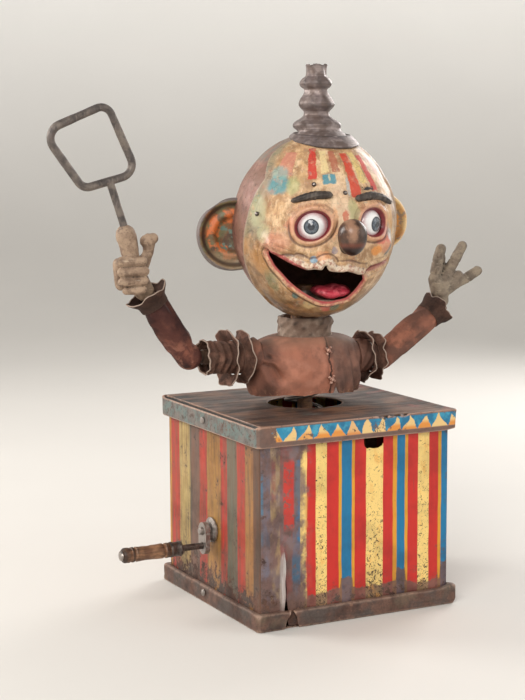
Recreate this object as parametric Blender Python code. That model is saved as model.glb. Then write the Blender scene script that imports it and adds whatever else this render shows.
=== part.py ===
"""Tin jack in the box: a riveted tin case with a hand-cranked music movement, and a clown on a coil spring.

Run with: blender --background --python part.py
The frame is +Z up, the case's front faces -Y and the crank is on the case's -X wall. The origin is the
centre of the base pan's underside. Every number below is in millimetres; solid() turns them into metres.
"""
import math

import bmesh
import bpy
from mathutils import Vector

MM = 0.001
GAP = 0.3                      # between pieces that touch
RUN = 0.1                      # round a shaft that turns
SHEET = 0.8                    # tinplate

CASE_SIDE = 140.0
CASE_TOP = 131.6
CAP_OVERHANG = 3.7
CAP_SKIRT = 13.8
CAP_HOLE_R = 25.0
CAP_RIVET = (5.4, 124.3)          # y and z of the rivets through the lid's skirt
BASE_RIVET = (5.6, 7.2)           # y and z of the rivets through the base pan's rim
RIM_OVERHANG = 4.1
RIM_HEIGHT = 11.9
CORNER_R = 2.0
FLOOR = SHEET + GAP            # where pieces stand on the base pan

CRANK_Z = 51.0
CRANK_THROW = 10.0
GRIP_START = -93.3
GRIP_END = -135.0
GRIP_R = 5.0

MODULE = 1.2
PRESSURE = math.radians(25)
PINION_TEETH = 10
DRUM_TEETH = 30
DRUM_Z = CRANK_Z - MODULE * (PINION_TEETH + DRUM_TEETH) / 2
DRUM_R = 12.0
COMB_TINES = 10

SPRING_R = 13.0
SPRING_WIRE = 2.4
SPRING_TURNS = 8
SPRING_BOTTOM = FLOOR + 2.2
SPRING_TOP = 147.0
STEM_R = 5.1
BOB_DOWN = 6.0
BOB_UP = 10.0
STOP_PIN_Z = 45.0

HEM_Z = 139.5
SHOULDER_X = 48.0
SHOULDER_Z = {"right": 165.0, "left": 160.0}
SIGN = {"right": -1.0, "left": 1.0}
ELBOW = {"right": (-86.0, 0.0, 168.0), "left": (60.0, 0.0, 158.0)}
WRIST = {"right": (-112.0, 0.0, 206.0), "left": (103.0, 0.0, 188.0)}
SLEEVE_END = {"right": 76.0, "left": 53.5}

HEAD = (0.0, -11.8, 251.6)
HEAD_R = (54.2, 54.2, 60.5)
HEAD_YAW = -8.5
SHELL = 1.6
NECK_Z = 201.0
EYE_R = 11.0
EYE_SINK = 7.8
HAT_TOP = 357.0


# ---------------------------------------------------------------- helpers

def clear_scene():
    for item in list(bpy.data.objects):
        bpy.data.objects.remove(item, do_unlink=True)


def material(name, colour, roughness, metallic=0.0):
    finish = bpy.data.materials.get(name) or bpy.data.materials.new(name)
    finish.use_nodes = True
    shader = finish.node_tree.nodes["Principled BSDF"]
    shader.inputs["Base Color"].default_value = (*colour, 1)
    shader.inputs["Roughness"].default_value = roughness
    shader.inputs["Metallic"].default_value = metallic
    return finish


def world_of(pivot):
    place = Vector()
    while pivot:
        place += pivot.location
        pivot = pivot.parent
    return place


def pivot(name, at, parent=None):
    """An empty on a joint's axis, which carries that joint's pieces."""
    empty = bpy.data.objects.new(name, None)
    empty.empty_display_size = 0.01
    bpy.context.scene.collection.objects.link(empty)
    empty.parent = parent
    empty.location = Vector(at) * MM - world_of(parent)
    return empty


def aim(direction):
    """The rotation that turns +Z to a direction, the short way round."""
    return Vector((0, 0, 1)).rotation_difference(Vector(direction)).to_euler()


def solid(name, points, faces, finish, at=(0, 0, 0), along=(0, 0, 1), parent=None, local=False):
    """One object from points in millimetres about `at`, its +Z turned to `along`."""
    mesh = bpy.data.meshes.new(name)
    mesh.from_pydata([Vector(p) * MM for p in points], [], faces)
    shape = bmesh.new()
    shape.from_mesh(mesh)
    bmesh.ops.remove_doubles(shape, verts=shape.verts, dist=1e-7)
    bmesh.ops.recalc_face_normals(shape, faces=shape.faces)
    shape.to_mesh(mesh)
    shape.free()
    mesh.shade_smooth()
    mesh.set_sharp_from_angle(angle=math.radians(40))
    mesh.materials.append(finish)
    item = bpy.data.objects.new(name, mesh)
    bpy.context.scene.collection.objects.link(item)
    item.rotation_euler = aim(along)
    item.parent = parent
    item.location = Vector(at) * MM
    if parent and not local:
        item.location -= world_of(parent)
    return item


def lathe(profile, segments=16, closed=False, scale=(1, 1)):
    """Points and faces of a profile of (radius, height) turned about +Z. A closed profile is a ring."""
    points = []
    rings = []
    for radius, height in profile:
        if radius < 1e-9:
            rings.append([len(points)])
            points.append((0, 0, height))
            continue
        rings.append(list(range(len(points), len(points) + segments)))
        for i in range(segments):
            angle = math.tau * i / segments
            points.append((radius * scale[0] * math.cos(angle), radius * scale[1] * math.sin(angle), height))
    faces = []
    following = rings[1:] + rings[:1] if closed else rings[1:]
    for low, high in zip(rings, following):
        for i in range(segments):
            j = (i + 1) % segments
            corners = [low[i % len(low)], low[j % len(low)], high[j % len(high)], high[i % len(high)]]
            faces.append(list(dict.fromkeys(corners)))
    return points, faces


def loft(rings, closed=False, loop=True):
    """Points and faces through rings of equal length. `closed` joins the last ring to the first."""
    count = len(rings[0])
    points = [p for ring in rings for p in ring]
    faces = []
    steps = len(rings) if closed else len(rings) - 1
    for k in range(steps):
        low = k * count
        high = (k + 1) % len(rings) * count
        for i in range(count if loop else count - 1):
            j = (i + 1) % count
            faces.append([low + i, low + j, high + j, high + i])
    if not closed:
        faces.append(list(range(count)))
        faces.append(list(range(len(points) - count, len(points))))
    return points, faces


def prism(outline, low, high):
    """An outline of (x, y) extruded along Z."""
    return loft([[(x, y, low) for x, y in outline], [(x, y, high) for x, y in outline]])


def block(low, high):
    """A box between two corners."""
    (x0, y0, z0), (x1, y1, z1) = low, high
    return prism([(x0, y0), (x1, y0), (x1, y1), (x0, y1)], z0, z1)


def cylinder(radius, low, high, segments=16):
    return lathe([(0, low), (radius, low), (radius, high), (0, high)], segments)


def joined(*parts):
    """Several shapes' points and faces as one."""
    points = []
    faces = []
    for more_points, more_faces in parts:
        start = len(points)
        points += list(more_points)
        faces += [[start + i for i in face] for face in more_faces]
    return points, faces


def moved(shape, offset=(0, 0, 0), turn=None):
    points, faces = shape
    turned = [Vector(p) if turn is None else turn @ Vector(p) for p in points]
    return [tuple(p + Vector(offset)) for p in turned], faces


def along_x(shape):
    """Turns a shape made along +Z so that it runs along +X."""
    points, faces = shape
    return [(z, y, -x) for x, y, z in points], faces


def tube(path, radius, sides=8, closed=False):
    """A round tube of one radius, or one for each point, along a path."""
    places = [Vector(p) for p in path]
    radii = radius if isinstance(radius, (list, tuple)) else [radius] * len(places)
    count = len(places)
    rings = []
    across = None
    for i, place in enumerate(places):
        before = places[i - 1] if i or closed else place
        after = places[(i + 1) % count] if i < count - 1 or closed else place
        ahead = (after - before).normalized()
        if across is None:
            across = ahead.cross(Vector((0, 1, 0)) if abs(ahead.y) < 0.9 else Vector((1, 0, 0)))
        across = (across - ahead * across.dot(ahead)).normalized()
        other = ahead.cross(across)
        angles = [math.tau * k / sides for k in range(sides)]
        rings.append([place + (across * math.cos(a) + other * math.sin(a)) * radii[i] for a in angles])
    return loft(rings, closed)


def capsule(start, end, r0, r1, sides=12):
    """A tapered finger with round ends."""
    a, b = Vector(start), Vector(end)
    ahead = (b - a).normalized()
    places = []
    radii = []
    for angle in (90, 60, 30, 0):
        places.append(a - ahead * r0 * math.sin(math.radians(angle)))
        radii.append(max(r0 * math.cos(math.radians(angle)), 0.05))
    for angle in (0, 30, 60, 90):
        places.append(b + ahead * r1 * math.sin(math.radians(angle)))
        radii.append(max(r1 * math.cos(math.radians(angle)), 0.05))
    return tube(places, radii, sides)


def combine(target, other, operation):
    """A Boolean on `target` by `other`, which stays as a hidden helper."""
    cut = target.modifiers.new(other.name, "BOOLEAN")
    cut.operation = operation
    cut.object = other
    other.hide_render = True
    other.display_type = "WIRE"
    return target


def helper(name, shape, parent=None, local=False, at=(0, 0, 0), along=(0, 0, 1)):
    """A cutter: it has the plain tin material and is hidden."""
    item = solid(name, *shape, TIN, at=at, along=along, parent=parent, local=local)
    item.hide_render = True
    item.display_type = "WIRE"
    return item


def on_head(azimuth, elevation, radius_share=1.0, lift=0.0):
    """A point about the head's centre, by degrees round from the face and up. 1.0 is its outer surface."""
    a, e = math.radians(azimuth), math.radians(elevation)
    ray = Vector((math.sin(a) * math.cos(e), -math.cos(a) * math.cos(e), math.sin(e)))
    reach = 1 / math.sqrt(sum((ray[i] / HEAD_R[i]) ** 2 for i in range(3)))
    return ray * (reach * radius_share + lift)


def square_ring(half, z, steps=2):
    """A rounded square of points at a height."""
    ring = []
    for corner in range(4):
        middle = math.radians(45 + 90 * corner)
        cx = math.copysign(half - CORNER_R, math.cos(middle))
        cy = math.copysign(half - CORNER_R, math.sin(middle))
        for k in range(steps):
            angle = math.radians(90 * corner + 90 * k / (steps - 1))
            ring.append((cx + CORNER_R * math.cos(angle), cy + CORNER_R * math.sin(angle), z))
    return ring


# ---------------------------------------------------------------- finishes

TIN = material("bare_tin", (0.20, 0.16, 0.14), 0.5, 0.8)
RUST = material("rusted_tin", (0.16, 0.08, 0.05), 0.7, 0.4)
STRIPED = material("striped_tin", (0.62, 0.16, 0.09), 0.45, 0.1)
STEEL = material("steel", (0.32, 0.31, 0.30), 0.35, 1.0)
BRASS = material("brass", (0.62, 0.45, 0.18), 0.35, 1.0)
GREY_METAL = material("dull_grey_metal", (0.22, 0.19, 0.19), 0.4, 0.8)
WAND_METAL = material("wand_metal", (0.10, 0.09, 0.09), 0.5, 0.7)
WOOD = material("old_wood", (0.33, 0.20, 0.13), 0.6)
FACE_PAINT = material("face_paint", (0.66, 0.50, 0.30), 0.45)
SKULL_PAINT = material("skull_paint", (0.30, 0.18, 0.14), 0.6)
EAR_PAINT = material("ear_paint", (0.40, 0.22, 0.09), 0.55)
EYE_GLASS = material("eye_white", (0.85, 0.86, 0.86), 0.08)
BROW_PAINT = material("brow_paint", (0.05, 0.04, 0.035), 0.6)
NOSE_PAINT = material("nose_paint", (0.25, 0.14, 0.09), 0.3)
TONGUE_PAINT = material("tongue_paint", (0.60, 0.08, 0.12), 0.35)
TUNIC = material("tunic_cloth", (0.32, 0.15, 0.10), 0.75)
SLEEVE_CLOTH = material("sleeve_cloth", (0.14, 0.08, 0.06), 0.85)
HAND_PAINT = material("hand_paint", (0.32, 0.25, 0.19), 0.7)


# ---------------------------------------------------------------- case

def base_pan():
    half = CASE_SIDE / 2 + RIM_OVERHANG
    ledge = CASE_SIDE / 2 + GAP
    rings = [
        square_ring(half, 0),
        square_ring(half, RIM_HEIGHT - 1.2),
        square_ring(half - 1.1, RIM_HEIGHT),
        square_ring(ledge, RIM_HEIGHT),
        square_ring(ledge, RIM_HEIGHT - SHEET),
        square_ring(half - SHEET, RIM_HEIGHT - SHEET - 1.0),
        square_ring(half - SHEET, SHEET),
    ]
    pan = solid("base_pan", *loft(rings), RUST)
    wedge = [(-55.7, -1), (-43.4, -1), (-48.2, 13), (-49.2, 13)]
    tear = [[(x, y, z) for x, z in wedge] for y in (-half - 2, -CASE_SIDE / 2 - 1)]
    points, faces = loft(tear)
    lifted = [(x, y, max(z, SHEET + 0.4)) for x, y, z in points]
    combine(pan, helper("rim_tear_cutter", (lifted, faces)), "DIFFERENCE")
    combine(pan, base_rivet_cutter, "DIFFERENCE")


def box_body():
    half = CASE_SIDE / 2
    top = CASE_TOP - SHEET - GAP
    rings = [square_ring(half, FLOOR), square_ring(half, top),
             square_ring(half - SHEET, top), square_ring(half - SHEET, FLOOR)]
    body = solid("box_body", *loft(rings, closed=True), STRIPED)
    slit = [(-52.9, 53), (-52.1, 53), (-51.2, 20), (-49.6, -1), (-54.4, -1), (-53.0, 20)]
    tear = [[(x, y, z) for x, z in slit] for y in (-half - 3, -half + 3)]
    combine(body, helper("wall_tear_cutter", loft(tear)), "DIFFERENCE")
    notch = [(5.5, 121), (5.0, 112), (8.0, 110), (17.0, 110), (20.0, 112.5), (19.5, 121)]
    sound = [[(x, y, z) for x, z in notch] for y in (-half - 3, -half + 3)]
    combine(body, helper("sound_notch_cutter", loft(sound)), "DIFFERENCE")
    bush_hole = along_x(cylinder(4.0 + GAP, -half - 3, -half + 3, 20))
    combine(body, helper("bush_hole_cutter", moved(bush_hole, (0, 0, CRANK_Z))), "DIFFERENCE")
    combine(body, cap_rivet_cutter, "DIFFERENCE")
    combine(body, base_rivet_cutter, "DIFFERENCE")


def cap():
    half = CASE_SIDE / 2 + CAP_OVERHANG
    low = CASE_TOP - CAP_SKIRT
    rings = [
        square_ring(half - 0.9, CASE_TOP),
        square_ring(half, CASE_TOP - 0.7),
        square_ring(half, low),
        square_ring(half - SHEET, low),
        square_ring(half - SHEET, CASE_TOP - SHEET),
    ]
    lid = solid("cap", *loft(rings), RUST)
    hole = cylinder(CAP_HOLE_R, CASE_TOP - 4, CASE_TOP + 4, 40)
    combine(lid, helper("cap_hole_cutter", hole), "DIFFERENCE")
    combine(lid, cap_rivet_cutter, "DIFFERENCE")


def rivet(name, side, outer, y, z):
    """Domed head outside at `outer`, shank through skin and wall, clenched inside the wall."""
    inner = CASE_SIDE / 2 - SHEET - GAP
    profile = [(0, inner - 1.0), (1.9, inner - 1.0), (1.9, inner), (1.2, inner), (1.2, outer + GAP),
               (2.4, outer + GAP), (2.2, outer + 1.0), (1.3, outer + 1.6), (0, outer + 1.8)]
    solid(name, *lathe(profile, 12), STEEL, at=(0, y, z), along=(side, 0, 0))


def case_rivets():
    for name, side in (("left", -1), ("right", 1)):
        rivet(f"cap_rivet_{name}", side, CASE_SIDE / 2 + CAP_OVERHANG, *CAP_RIVET)
        rivet(f"base_rivet_{name}", side, CASE_SIDE / 2 + RIM_OVERHANG, *BASE_RIVET)



# ---------------------------------------------------------------- crank and music movement

def gear_outline(teeth, tooth_up):
    """An involute outline, thinned for backlash. `tooth_up` puts a tooth on +Y, otherwise a gap."""
    pitch = MODULE * teeth / 2
    base = pitch * math.cos(PRESSURE)
    tip = pitch + 0.8 * MODULE
    root = pitch - 1.0 * MODULE
    backlash = 0.22

    def half_angle(radius):
        flank = math.acos(min(1, base / max(radius, base)))
        at_pitch = math.tan(PRESSURE) - PRESSURE
        return math.pi / (2 * teeth) - backlash / (2 * pitch) + at_pitch - (math.tan(flank) - flank)

    flank_radii = [root, (root + pitch) / 2, pitch, tip] if teeth < 20 else [root, pitch, tip]
    outline = []
    for k in range(teeth):
        centre = math.pi / 2 + math.tau * (k if tooth_up else k + 0.5) / teeth
        for radius in flank_radii:
            outline.append((radius, centre - half_angle(radius)))
        for radius in reversed(flank_radii):
            outline.append((radius, centre + half_angle(radius)))
    return [(r * math.cos(a), r * math.sin(a)) for r, a in outline]


def gear(name, teeth, x0, x1, bore, z, tooth_up, parent, finish):
    outline = gear_outline(teeth, tooth_up)
    turned = [[(x, side, up) for side, up in outline] for x in (x0, x1)]
    wheel = solid(name, *moved(loft(turned), (0, 0, z)), finish)
    set_origin(wheel, (0, 0, z), parent)
    hole = along_x(cylinder(bore, x0 - 2, x1 + 2, 16))
    combine(wheel, helper(name + "_bore_cutter", moved(hole, (0, 0, z))), "DIFFERENCE")
    return wheel


def set_origin(item, at, parent=None):
    """Moves an object's origin to `at`, with its shape left in place, and hangs it on its pivot."""
    place = Vector(at) * MM
    for vertex in item.data.vertices:
        vertex.co -= place
    item.parent = parent
    item.location = place - world_of(parent)


def crank_bush():
    wall = CASE_SIDE / 2
    bore = 2.5 + RUN
    profile = [(bore, 66), (4.0, 66), (4.0, wall + GAP), (8.5, wall + GAP), (8.5, wall + 1.3),
               (6.0, wall + 2.4), (bore, wall + 2.4)]
    solid("crank_bush", *lathe(profile, 16, closed=True), STEEL, at=(0, 0, CRANK_Z), along=(-1, 0, 0))


def crank_assembly(turn, grip_turn):
    pin_z = CRANK_Z - CRANK_THROW
    shaft = [(0, 17), (2.5, 17), (2.5, 79.2), (1.8, 80), (0, 80)]
    solid("crankshaft", *lathe(shaft, 16), STEEL, at=(0, 0, CRANK_Z), along=(-1, 0, 0), parent=turn)
    outline = []
    for start, z in ((0, 0), (180, -CRANK_THROW)):
        for k in range(9):
            angle = math.radians(start + 180 * k / 8)
            outline.append((5.8 * math.cos(angle), z + 5.8 * math.sin(angle)))
    arm_shape = loft([[(x, y, z + CRANK_Z) for y, z in outline] for x in (-77.6, -74.4)])
    arm = solid("crank_arm", *arm_shape, STEEL)
    set_origin(arm, (0, 0, CRANK_Z), turn)
    for name, radius, z in (("arm_shaft_hole_cutter", 2.5 + GAP, CRANK_Z), ("arm_pin_hole_cutter", 2.2 + GAP, pin_z)):
        hole = along_x(cylinder(radius, -90, -70, 14))
        combine(arm, helper(name, moved(hole, (0, 0, z))), "DIFFERENCE")
    tip = -GRIP_END
    pin = [(0, 73.6), (3.0, 73.6), (3.0, 74.4 - GAP), (2.2, 74.4 - GAP), (2.2, tip + GAP), (3.4, tip + GAP),
           (3.0, tip + 1.3), (0, tip + 1.6)]
    solid("handle_pin", *lathe(pin, 14), STEEL, at=(0, 0, pin_z), along=(-1, 0, 0), parent=turn)
    band = 8.5
    start = -GRIP_START
    bore = 2.2 + GAP
    grip = [(bore, start), (GRIP_R - 0.8, start), (GRIP_R - 0.8, start + band), (GRIP_R, start + band + 0.5),
            (GRIP_R + 0.3, start + 22), (GRIP_R + 0.2, tip - 2), (GRIP_R - 0.6, tip), (bore, tip)]
    solid("crank_grip", *lathe(grip, 16, closed=True), WOOD, at=(0, 0, pin_z), along=(-1, 0, 0), parent=grip_turn)
    inner = GRIP_R - 0.8 + GAP
    ferrule = [(inner, start), (GRIP_R + 0.3, start), (GRIP_R + 0.4, start + band / 2),
               (GRIP_R + 0.3, start + band - 0.2), (inner, start + band - 0.2)]
    solid("grip_ferrule", *lathe(ferrule, 16, closed=True), STEEL, at=(0, 0, pin_z), along=(-1, 0, 0),
          parent=grip_turn)


def drum_assembly(turn):
    shaft = [(0, 20.0), (2.0, 20.0), (2.0, 63.5), (0, 63.5)]
    solid("drum_shaft", *lathe(shaft, 16), STEEL, at=(0, 0, DRUM_Z), along=(-1, 0, 0), parent=turn)
    low, high = -50.0, -26.0
    body = [(2.0 + GAP, 26.0), (DRUM_R, 26.0), (DRUM_R, 50.0), (2.0 + GAP, 50.0)]
    drum = solid("music_drum", *lathe(body, 20, closed=True), BRASS, at=(0, 0, DRUM_Z), along=(-1, 0, 0),
                 parent=turn)
    pins = []
    pitch = (high - low) / COMB_TINES
    for k in range(2 * COMB_TINES):
        x = low + pitch * (k % COMB_TINES + 0.5)
        angle = math.tau * (k * 5 % 24) / 24 + 0.09
        stud = block((x - 0.4, -0.4, DRUM_R - 1.0), (x + 0.4, 0.4, DRUM_R + 0.9))
        c, s = math.cos(angle), math.sin(angle)
        points, faces = stud
        pins.append(([(px, py * c - pz * s, py * s + pz * c) for px, py, pz in points], faces))
    studs = helper("drum_pins", moved(joined(*pins), (0, 0, DRUM_Z)))
    combine(drum, studs, "UNION")


def movement_frame():
    """A bent steel bracket: a foot on the base pan and two upright bearing plates."""
    foot = block((-64, -22, FLOOR), (-19.5, 38, FLOOR + 1.2))
    frame = solid("movement_frame", *foot, STEEL)
    for name, x0, x1 in (("outer", -64.0, -62.8), ("inner", -20.7, -19.5)):
        plate = helper(f"frame_{name}_plate", block((x0, -13, FLOOR + 0.2), (x1, 13, 60)))
        combine(frame, plate, "UNION")
    for name, radius, z in (("crank_bearing_cutter", 2.5 + RUN, CRANK_Z), ("drum_bearing_cutter", 2.0 + RUN, DRUM_Z)):
        hole = along_x(cylinder(radius, -70, -15, 16))
        combine(frame, helper(name, moved(hole, (0, 0, z))), "DIFFERENCE")


def comb_and_bridge():
    low, high = -50.0, -26.0
    foot = FLOOR + 1.2 + GAP
    solid("comb_bridge", *block((low, 23, foot), (high, 36, DRUM_Z - 0.5 - GAP)), BRASS)
    pitch = (high - low) / COMB_TINES
    outline = [(high, 35), (low, 35)]
    for k in range(COMB_TINES):
        x = low + pitch * k
        outline += [(x + 0.3, 22), (x + 0.3, DRUM_R + 1.5), (x + pitch - 0.3, DRUM_R + 1.5), (x + pitch - 0.3, 22)]
    solid("comb", *prism(outline, DRUM_Z - 0.5, DRUM_Z + 0.5), STEEL)


# ---------------------------------------------------------------- spring and stem

def spring_seat():
    bore = 7.2 + GAP
    profile = [(bore, FLOOR), (17, FLOOR), (17, FLOOR + 2), (11.3, FLOOR + 2), (10.9, FLOOR + 9), (bore, FLOOR + 9)]
    solid("spring_seat", *lathe(profile, 20, closed=True), STEEL)


def guide_tube():
    profile = [(STEM_R + GAP, FLOOR), (7.2, FLOOR), (7.2, 72), (STEM_R + GAP, 72)]
    sleeve = solid("guide_tube", *lathe(profile, 20, closed=True), BRASS)
    low = STOP_PIN_Z - BOB_DOWN - 1.8
    high = STOP_PIN_Z + BOB_UP + 1.8
    combine(sleeve, helper("guide_slot_cutter", block((-1.6, -10, low), (1.6, 10, high))), "DIFFERENCE")


def jack_spring():
    """Compression spring. Its end turns lie flat and are closed."""
    per_turn = 10
    wire = SPRING_WIRE / 2
    bottom = SPRING_BOTTOM + wire
    top = SPRING_TOP - wire
    steps = (SPRING_TURNS + 2) * per_turn
    path = []
    for k in range(steps + 1):
        turns = k / per_turn
        open_turns = min(max(turns - 1, 0), SPRING_TURNS)
        end_lift = min(turns, 1) + max(turns - 1 - SPRING_TURNS, 0)
        rise = (top - bottom - 2 * (SPRING_WIRE + GAP)) * open_turns / SPRING_TURNS
        z = bottom + rise + end_lift * (SPRING_WIRE + GAP)
        angle = math.tau * turns
        path.append((SPRING_R * math.cos(angle), SPRING_R * math.sin(angle), z))
    solid("jack_spring", *tube(path, wire, 5), STEEL)


def stem(slide):
    flange = SPRING_TOP + GAP
    profile = [(0, 34), (STEM_R - 0.6, 34), (STEM_R, 34.8), (STEM_R, flange), (16, flange), (16, flange + 2.4),
               (STEM_R, flange + 2.4), (STEM_R, 166), (0, 166)]
    rod = solid("stem", *lathe(profile, 20), WOOD, parent=slide)
    across = cylinder(1.2 + GAP, -12, 12, 16)
    hole = helper("stop_pin_hole_cutter", across, at=(0, 0, STOP_PIN_Z), along=(0, 1, 0), parent=slide)
    combine(rod, hole, "DIFFERENCE")
    solid("stop_pin", *cylinder(1.2, -8.6, 8.6, 16), STEEL, at=(0, 0, STOP_PIN_Z), along=(0, 1, 0), parent=slide)


# ---------------------------------------------------------------- torso

def body_block(slide):
    low = SPRING_TOP + GAP + 2.4 + GAP
    core = solid("body_block", *block((-27, -11, low), (27, 11, 172)), WOOD, parent=slide)
    socket = cylinder(STEM_R + GAP, low - 2, 166 + GAP, 20)
    combine(core, helper("stem_socket_cutter", socket, parent=slide), "DIFFERENCE")
    for side, sign in SIGN.items():
        bore = cylinder(3.0 + RUN, 12, 35, 16)
        cutter = helper(f"shoulder_bore_cutter_{side}", bore, at=(0, 0, SHOULDER_Z[side]), along=(sign, 0, 0),
                        parent=slide)
        combine(core, cutter, "DIFFERENCE")


def torso_ring(z, across, deep, shift, count=24):
    angles = [math.tau * k / count for k in range(count)]
    return [(shift + across * math.cos(a), deep * math.sin(a), z) for a in angles]


TORSO = [                       # height, half width, half depth, sideways shift
    (HEM_Z, 44.5, 28.0, 1.0), (147.0, 46.5, 28.5, 1.5), (157.0, 47.0, 27.5, 1.5), (166.0, 45.0, 25.0, 1.5),
    (172.5, 39.0, 22.5, 1.0), (176.0, 29.0, 20.5, 0.5), (177.4, 19.6, 19.0, 0.0),
]


def torso_shell(slide):
    wall = 1.6
    outer = [torso_ring(z, a, b, s) for z, a, b, s in TORSO]
    inner = [torso_ring(z - (wall if z > 170 else 0), a - wall, b - wall, s) for z, a, b, s in reversed(TORSO)]
    inner[0] = torso_ring(TORSO[-1][0], 18.3, 18.3, 0)
    inner[-1] = torso_ring(HEM_Z, TORSO[0][1] - wall, TORSO[0][2] - wall, TORSO[0][3])
    shell = solid("torso_shell", *loft(outer + inner, closed=True), TUNIC, parent=slide)
    for side, sign in SIGN.items():
        hole = cylinder(6.5, 34, 60, 14)
        cutter = helper(f"arm_hole_cutter_{side}", hole, at=(0, 0, SHOULDER_Z[side]), along=(sign, 0, 0),
                        parent=slide)
        combine(shell, cutter, "DIFFERENCE")
    vent = [(9.5, HEM_Z - 2), (13.5, HEM_Z - 2), (11.2, 146.5)]
    slit = [[(x, y, z) for x, z in vent] for y in (-34, -20)]
    combine(shell, helper("hem_slit_cutter", loft(slit), parent=slide), "DIFFERENCE")


def buttons(slide):
    for name, z, depth in (("upper", 169.0, 24.6), ("lower", 150.5, 28.6)):
        profile = [(0, 0), (2.2, 0), (2.6, 0.8), (2.0, 2.0), (0, 2.4)]
        solid(f"button_{name}", *lathe(profile, 14), BRASS, at=(4.5, -depth - GAP, z), along=(0, -1, 0), parent=slide)


def neck(slide):
    collar = [(16.0, 173.0), (17.6, 173.0), (17.9, 180.0), (17.5, 190.0), (16.2, 190.0)]
    solid("neck_collar", *lathe(collar, 18, closed=True), TUNIC, parent=slide)
    shoulder = NECK_Z - GAP
    post = [(0, 172 + GAP), (15.6, 172 + GAP), (15.6, 176), (9.5, 178), (9.5, shoulder), (6.8, shoulder),
            (6.8, 211), (0, 211)]
    solid("neck_post", *lathe(post, 16), WOOD, parent=slide)
    low = NECK_Z + 3.6 + GAP
    nut = [(6.8 + GAP, low), (9.5, low), (9.5, low + 3), (6.8 + GAP, low + 3)]
    solid("neck_nut", *lathe(nut, 16, closed=True), STEEL, parent=slide)


# ---------------------------------------------------------------- head

def ellipsoid(inset, segments=20, rows=10):
    """The head's form, drawn in by `inset`."""
    across, up = HEAD_R[0] - inset, HEAD_R[2] - inset
    angles = [math.pi * (k / rows - 0.5) for k in range(rows + 1)]
    profile = [(across * math.cos(a), up * math.sin(a)) for a in angles]
    profile[0] = (0, -up)
    profile[-1] = (0, up)
    return lathe(profile, segments)


def front_region(shift):
    """Everything in front of the seam between face and skull, moved back by `shift`."""
    seam = [(0.4, -70), (-32.0, 31.0), (-23.0, 46.0), (-20.0, 70)]
    outline = [(y + shift, z) for y, z in seam] + [(-90, 70), (-90, -70)]
    return loft([[(x, y, z) for y, z in outline] for x in (-70, 70)])


def radial_cutter(name, directions, near, far, parent):
    """A cutter between two shells about the head's centre, over an outline of (azimuth, elevation)."""
    rings = [[on_head(a, e, share) for a, e in directions] for share in (near, far)]
    return helper(name, loft(rings), parent=parent, local=True)


MOUTH = [                       # azimuth and elevation, upper lip from corner to corner, then the lower lip
    (-53, -14.5), (-43, -20.3), (-34, -24.5), (-22, -27.5), (-11, -27), (0, -29.5), (13, -31), (22, -32.5),
    (23.5, -38), (21, -46), (14, -52.5), (4, -55), (-8, -55), (-20, -51), (-32, -43.8), (-43, -33), (-50, -22.5),
]
EYES = {"right": (-20.8, 2.8), "left": (22.6, 4.6)}


def head_shells(head):
    """The face and the skull: two halves of one thin shell, split along the seam."""
    hollow = helper("head_hollow", ellipsoid(SHELL), parent=head, local=True)
    face = solid("face_mask", *ellipsoid(0), FACE_PAINT, parent=head, local=True)
    skull = solid("skull_shell", *ellipsoid(0), SKULL_PAINT, parent=head, local=True)
    for shell in (face, skull):
        combine(shell, hollow, "DIFFERENCE")
    combine(face, helper("face_region", front_region(0), parent=head, local=True), "INTERSECT")
    combine(skull, helper("skull_cutter", front_region(GAP), parent=head, local=True), "DIFFERENCE")
    combine(face, radial_cutter("mouth_cutter", MOUTH, 0.8, 1.2, head), "DIFFERENCE")
    for side, (azimuth, elevation) in EYES.items():
        ray = on_head(azimuth, elevation)
        socket = cylinder(10.3, -12, 12, 16)
        cutter = helper(f"eye_socket_cutter_{side}", socket, parent=head, local=True, at=ray, along=ray)
        combine(face, cutter, "DIFFERENCE")
    neck_hole = helper("neck_hole_cutter", cylinder(10, 180, 225, 20), parent=neck_turn)
    combine(skull, neck_hole, "DIFFERENCE")
    combine(face, neck_hole, "DIFFERENCE")


def head_plate(head, turn):
    """A disc inside the head that turns on the neck post. Its edge follows the shell's inside."""
    plate = solid("head_plate", *cylinder(30, NECK_Z - HEAD[2], NECK_Z + 3.6 - HEAD[2], 20), TIN, parent=head,
                  local=True)
    combine(plate, helper("head_plate_limit", ellipsoid(SHELL + GAP), parent=head, local=True), "INTERSECT")
    combine(plate, helper("neck_bore_cutter", cylinder(6.8 + RUN, 190, 215, 20), parent=turn), "DIFFERENCE")


def eyes(head):
    for side, (azimuth, elevation) in EYES.items():
        ray = on_head(azimuth, elevation)
        centre = ray * (1 - EYE_SINK / ray.length)
        angles = [math.pi * (k / 10 - 0.5) for k in range(11)]
        profile = [(EYE_R * math.cos(a), EYE_R * math.sin(a)) for a in angles]
        profile[0] = (0, -EYE_R)
        profile[-1] = (0, EYE_R)
        solid(f"eye_{side}", *lathe(profile, 16), EYE_GLASS, at=centre, along=ray, parent=head, local=True)


def brows(head):
    spans = {"right": (-35.0, -8.0, 17.5, 21.5), "left": (9.5, 41.0, 19.5, 16.0)}
    for side, (start, end, e0, e1) in spans.items():
        steps = 8
        path = []
        radii = []
        for k in range(steps + 1):
            t = k / steps
            arch = 1.8 * math.sin(math.pi * t)
            path.append(on_head(start + (end - start) * t, e0 + (e1 - e0) * t + arch, 1.0, 2.4 + GAP + 0.2))
            radii.append(1.5 + 0.9 * math.sin(math.pi * min(1, t * 1.1 + 0.05)))
        solid(f"brow_{side}", *tube(path, radii, 8), BROW_PAINT, parent=head, local=True)


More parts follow.
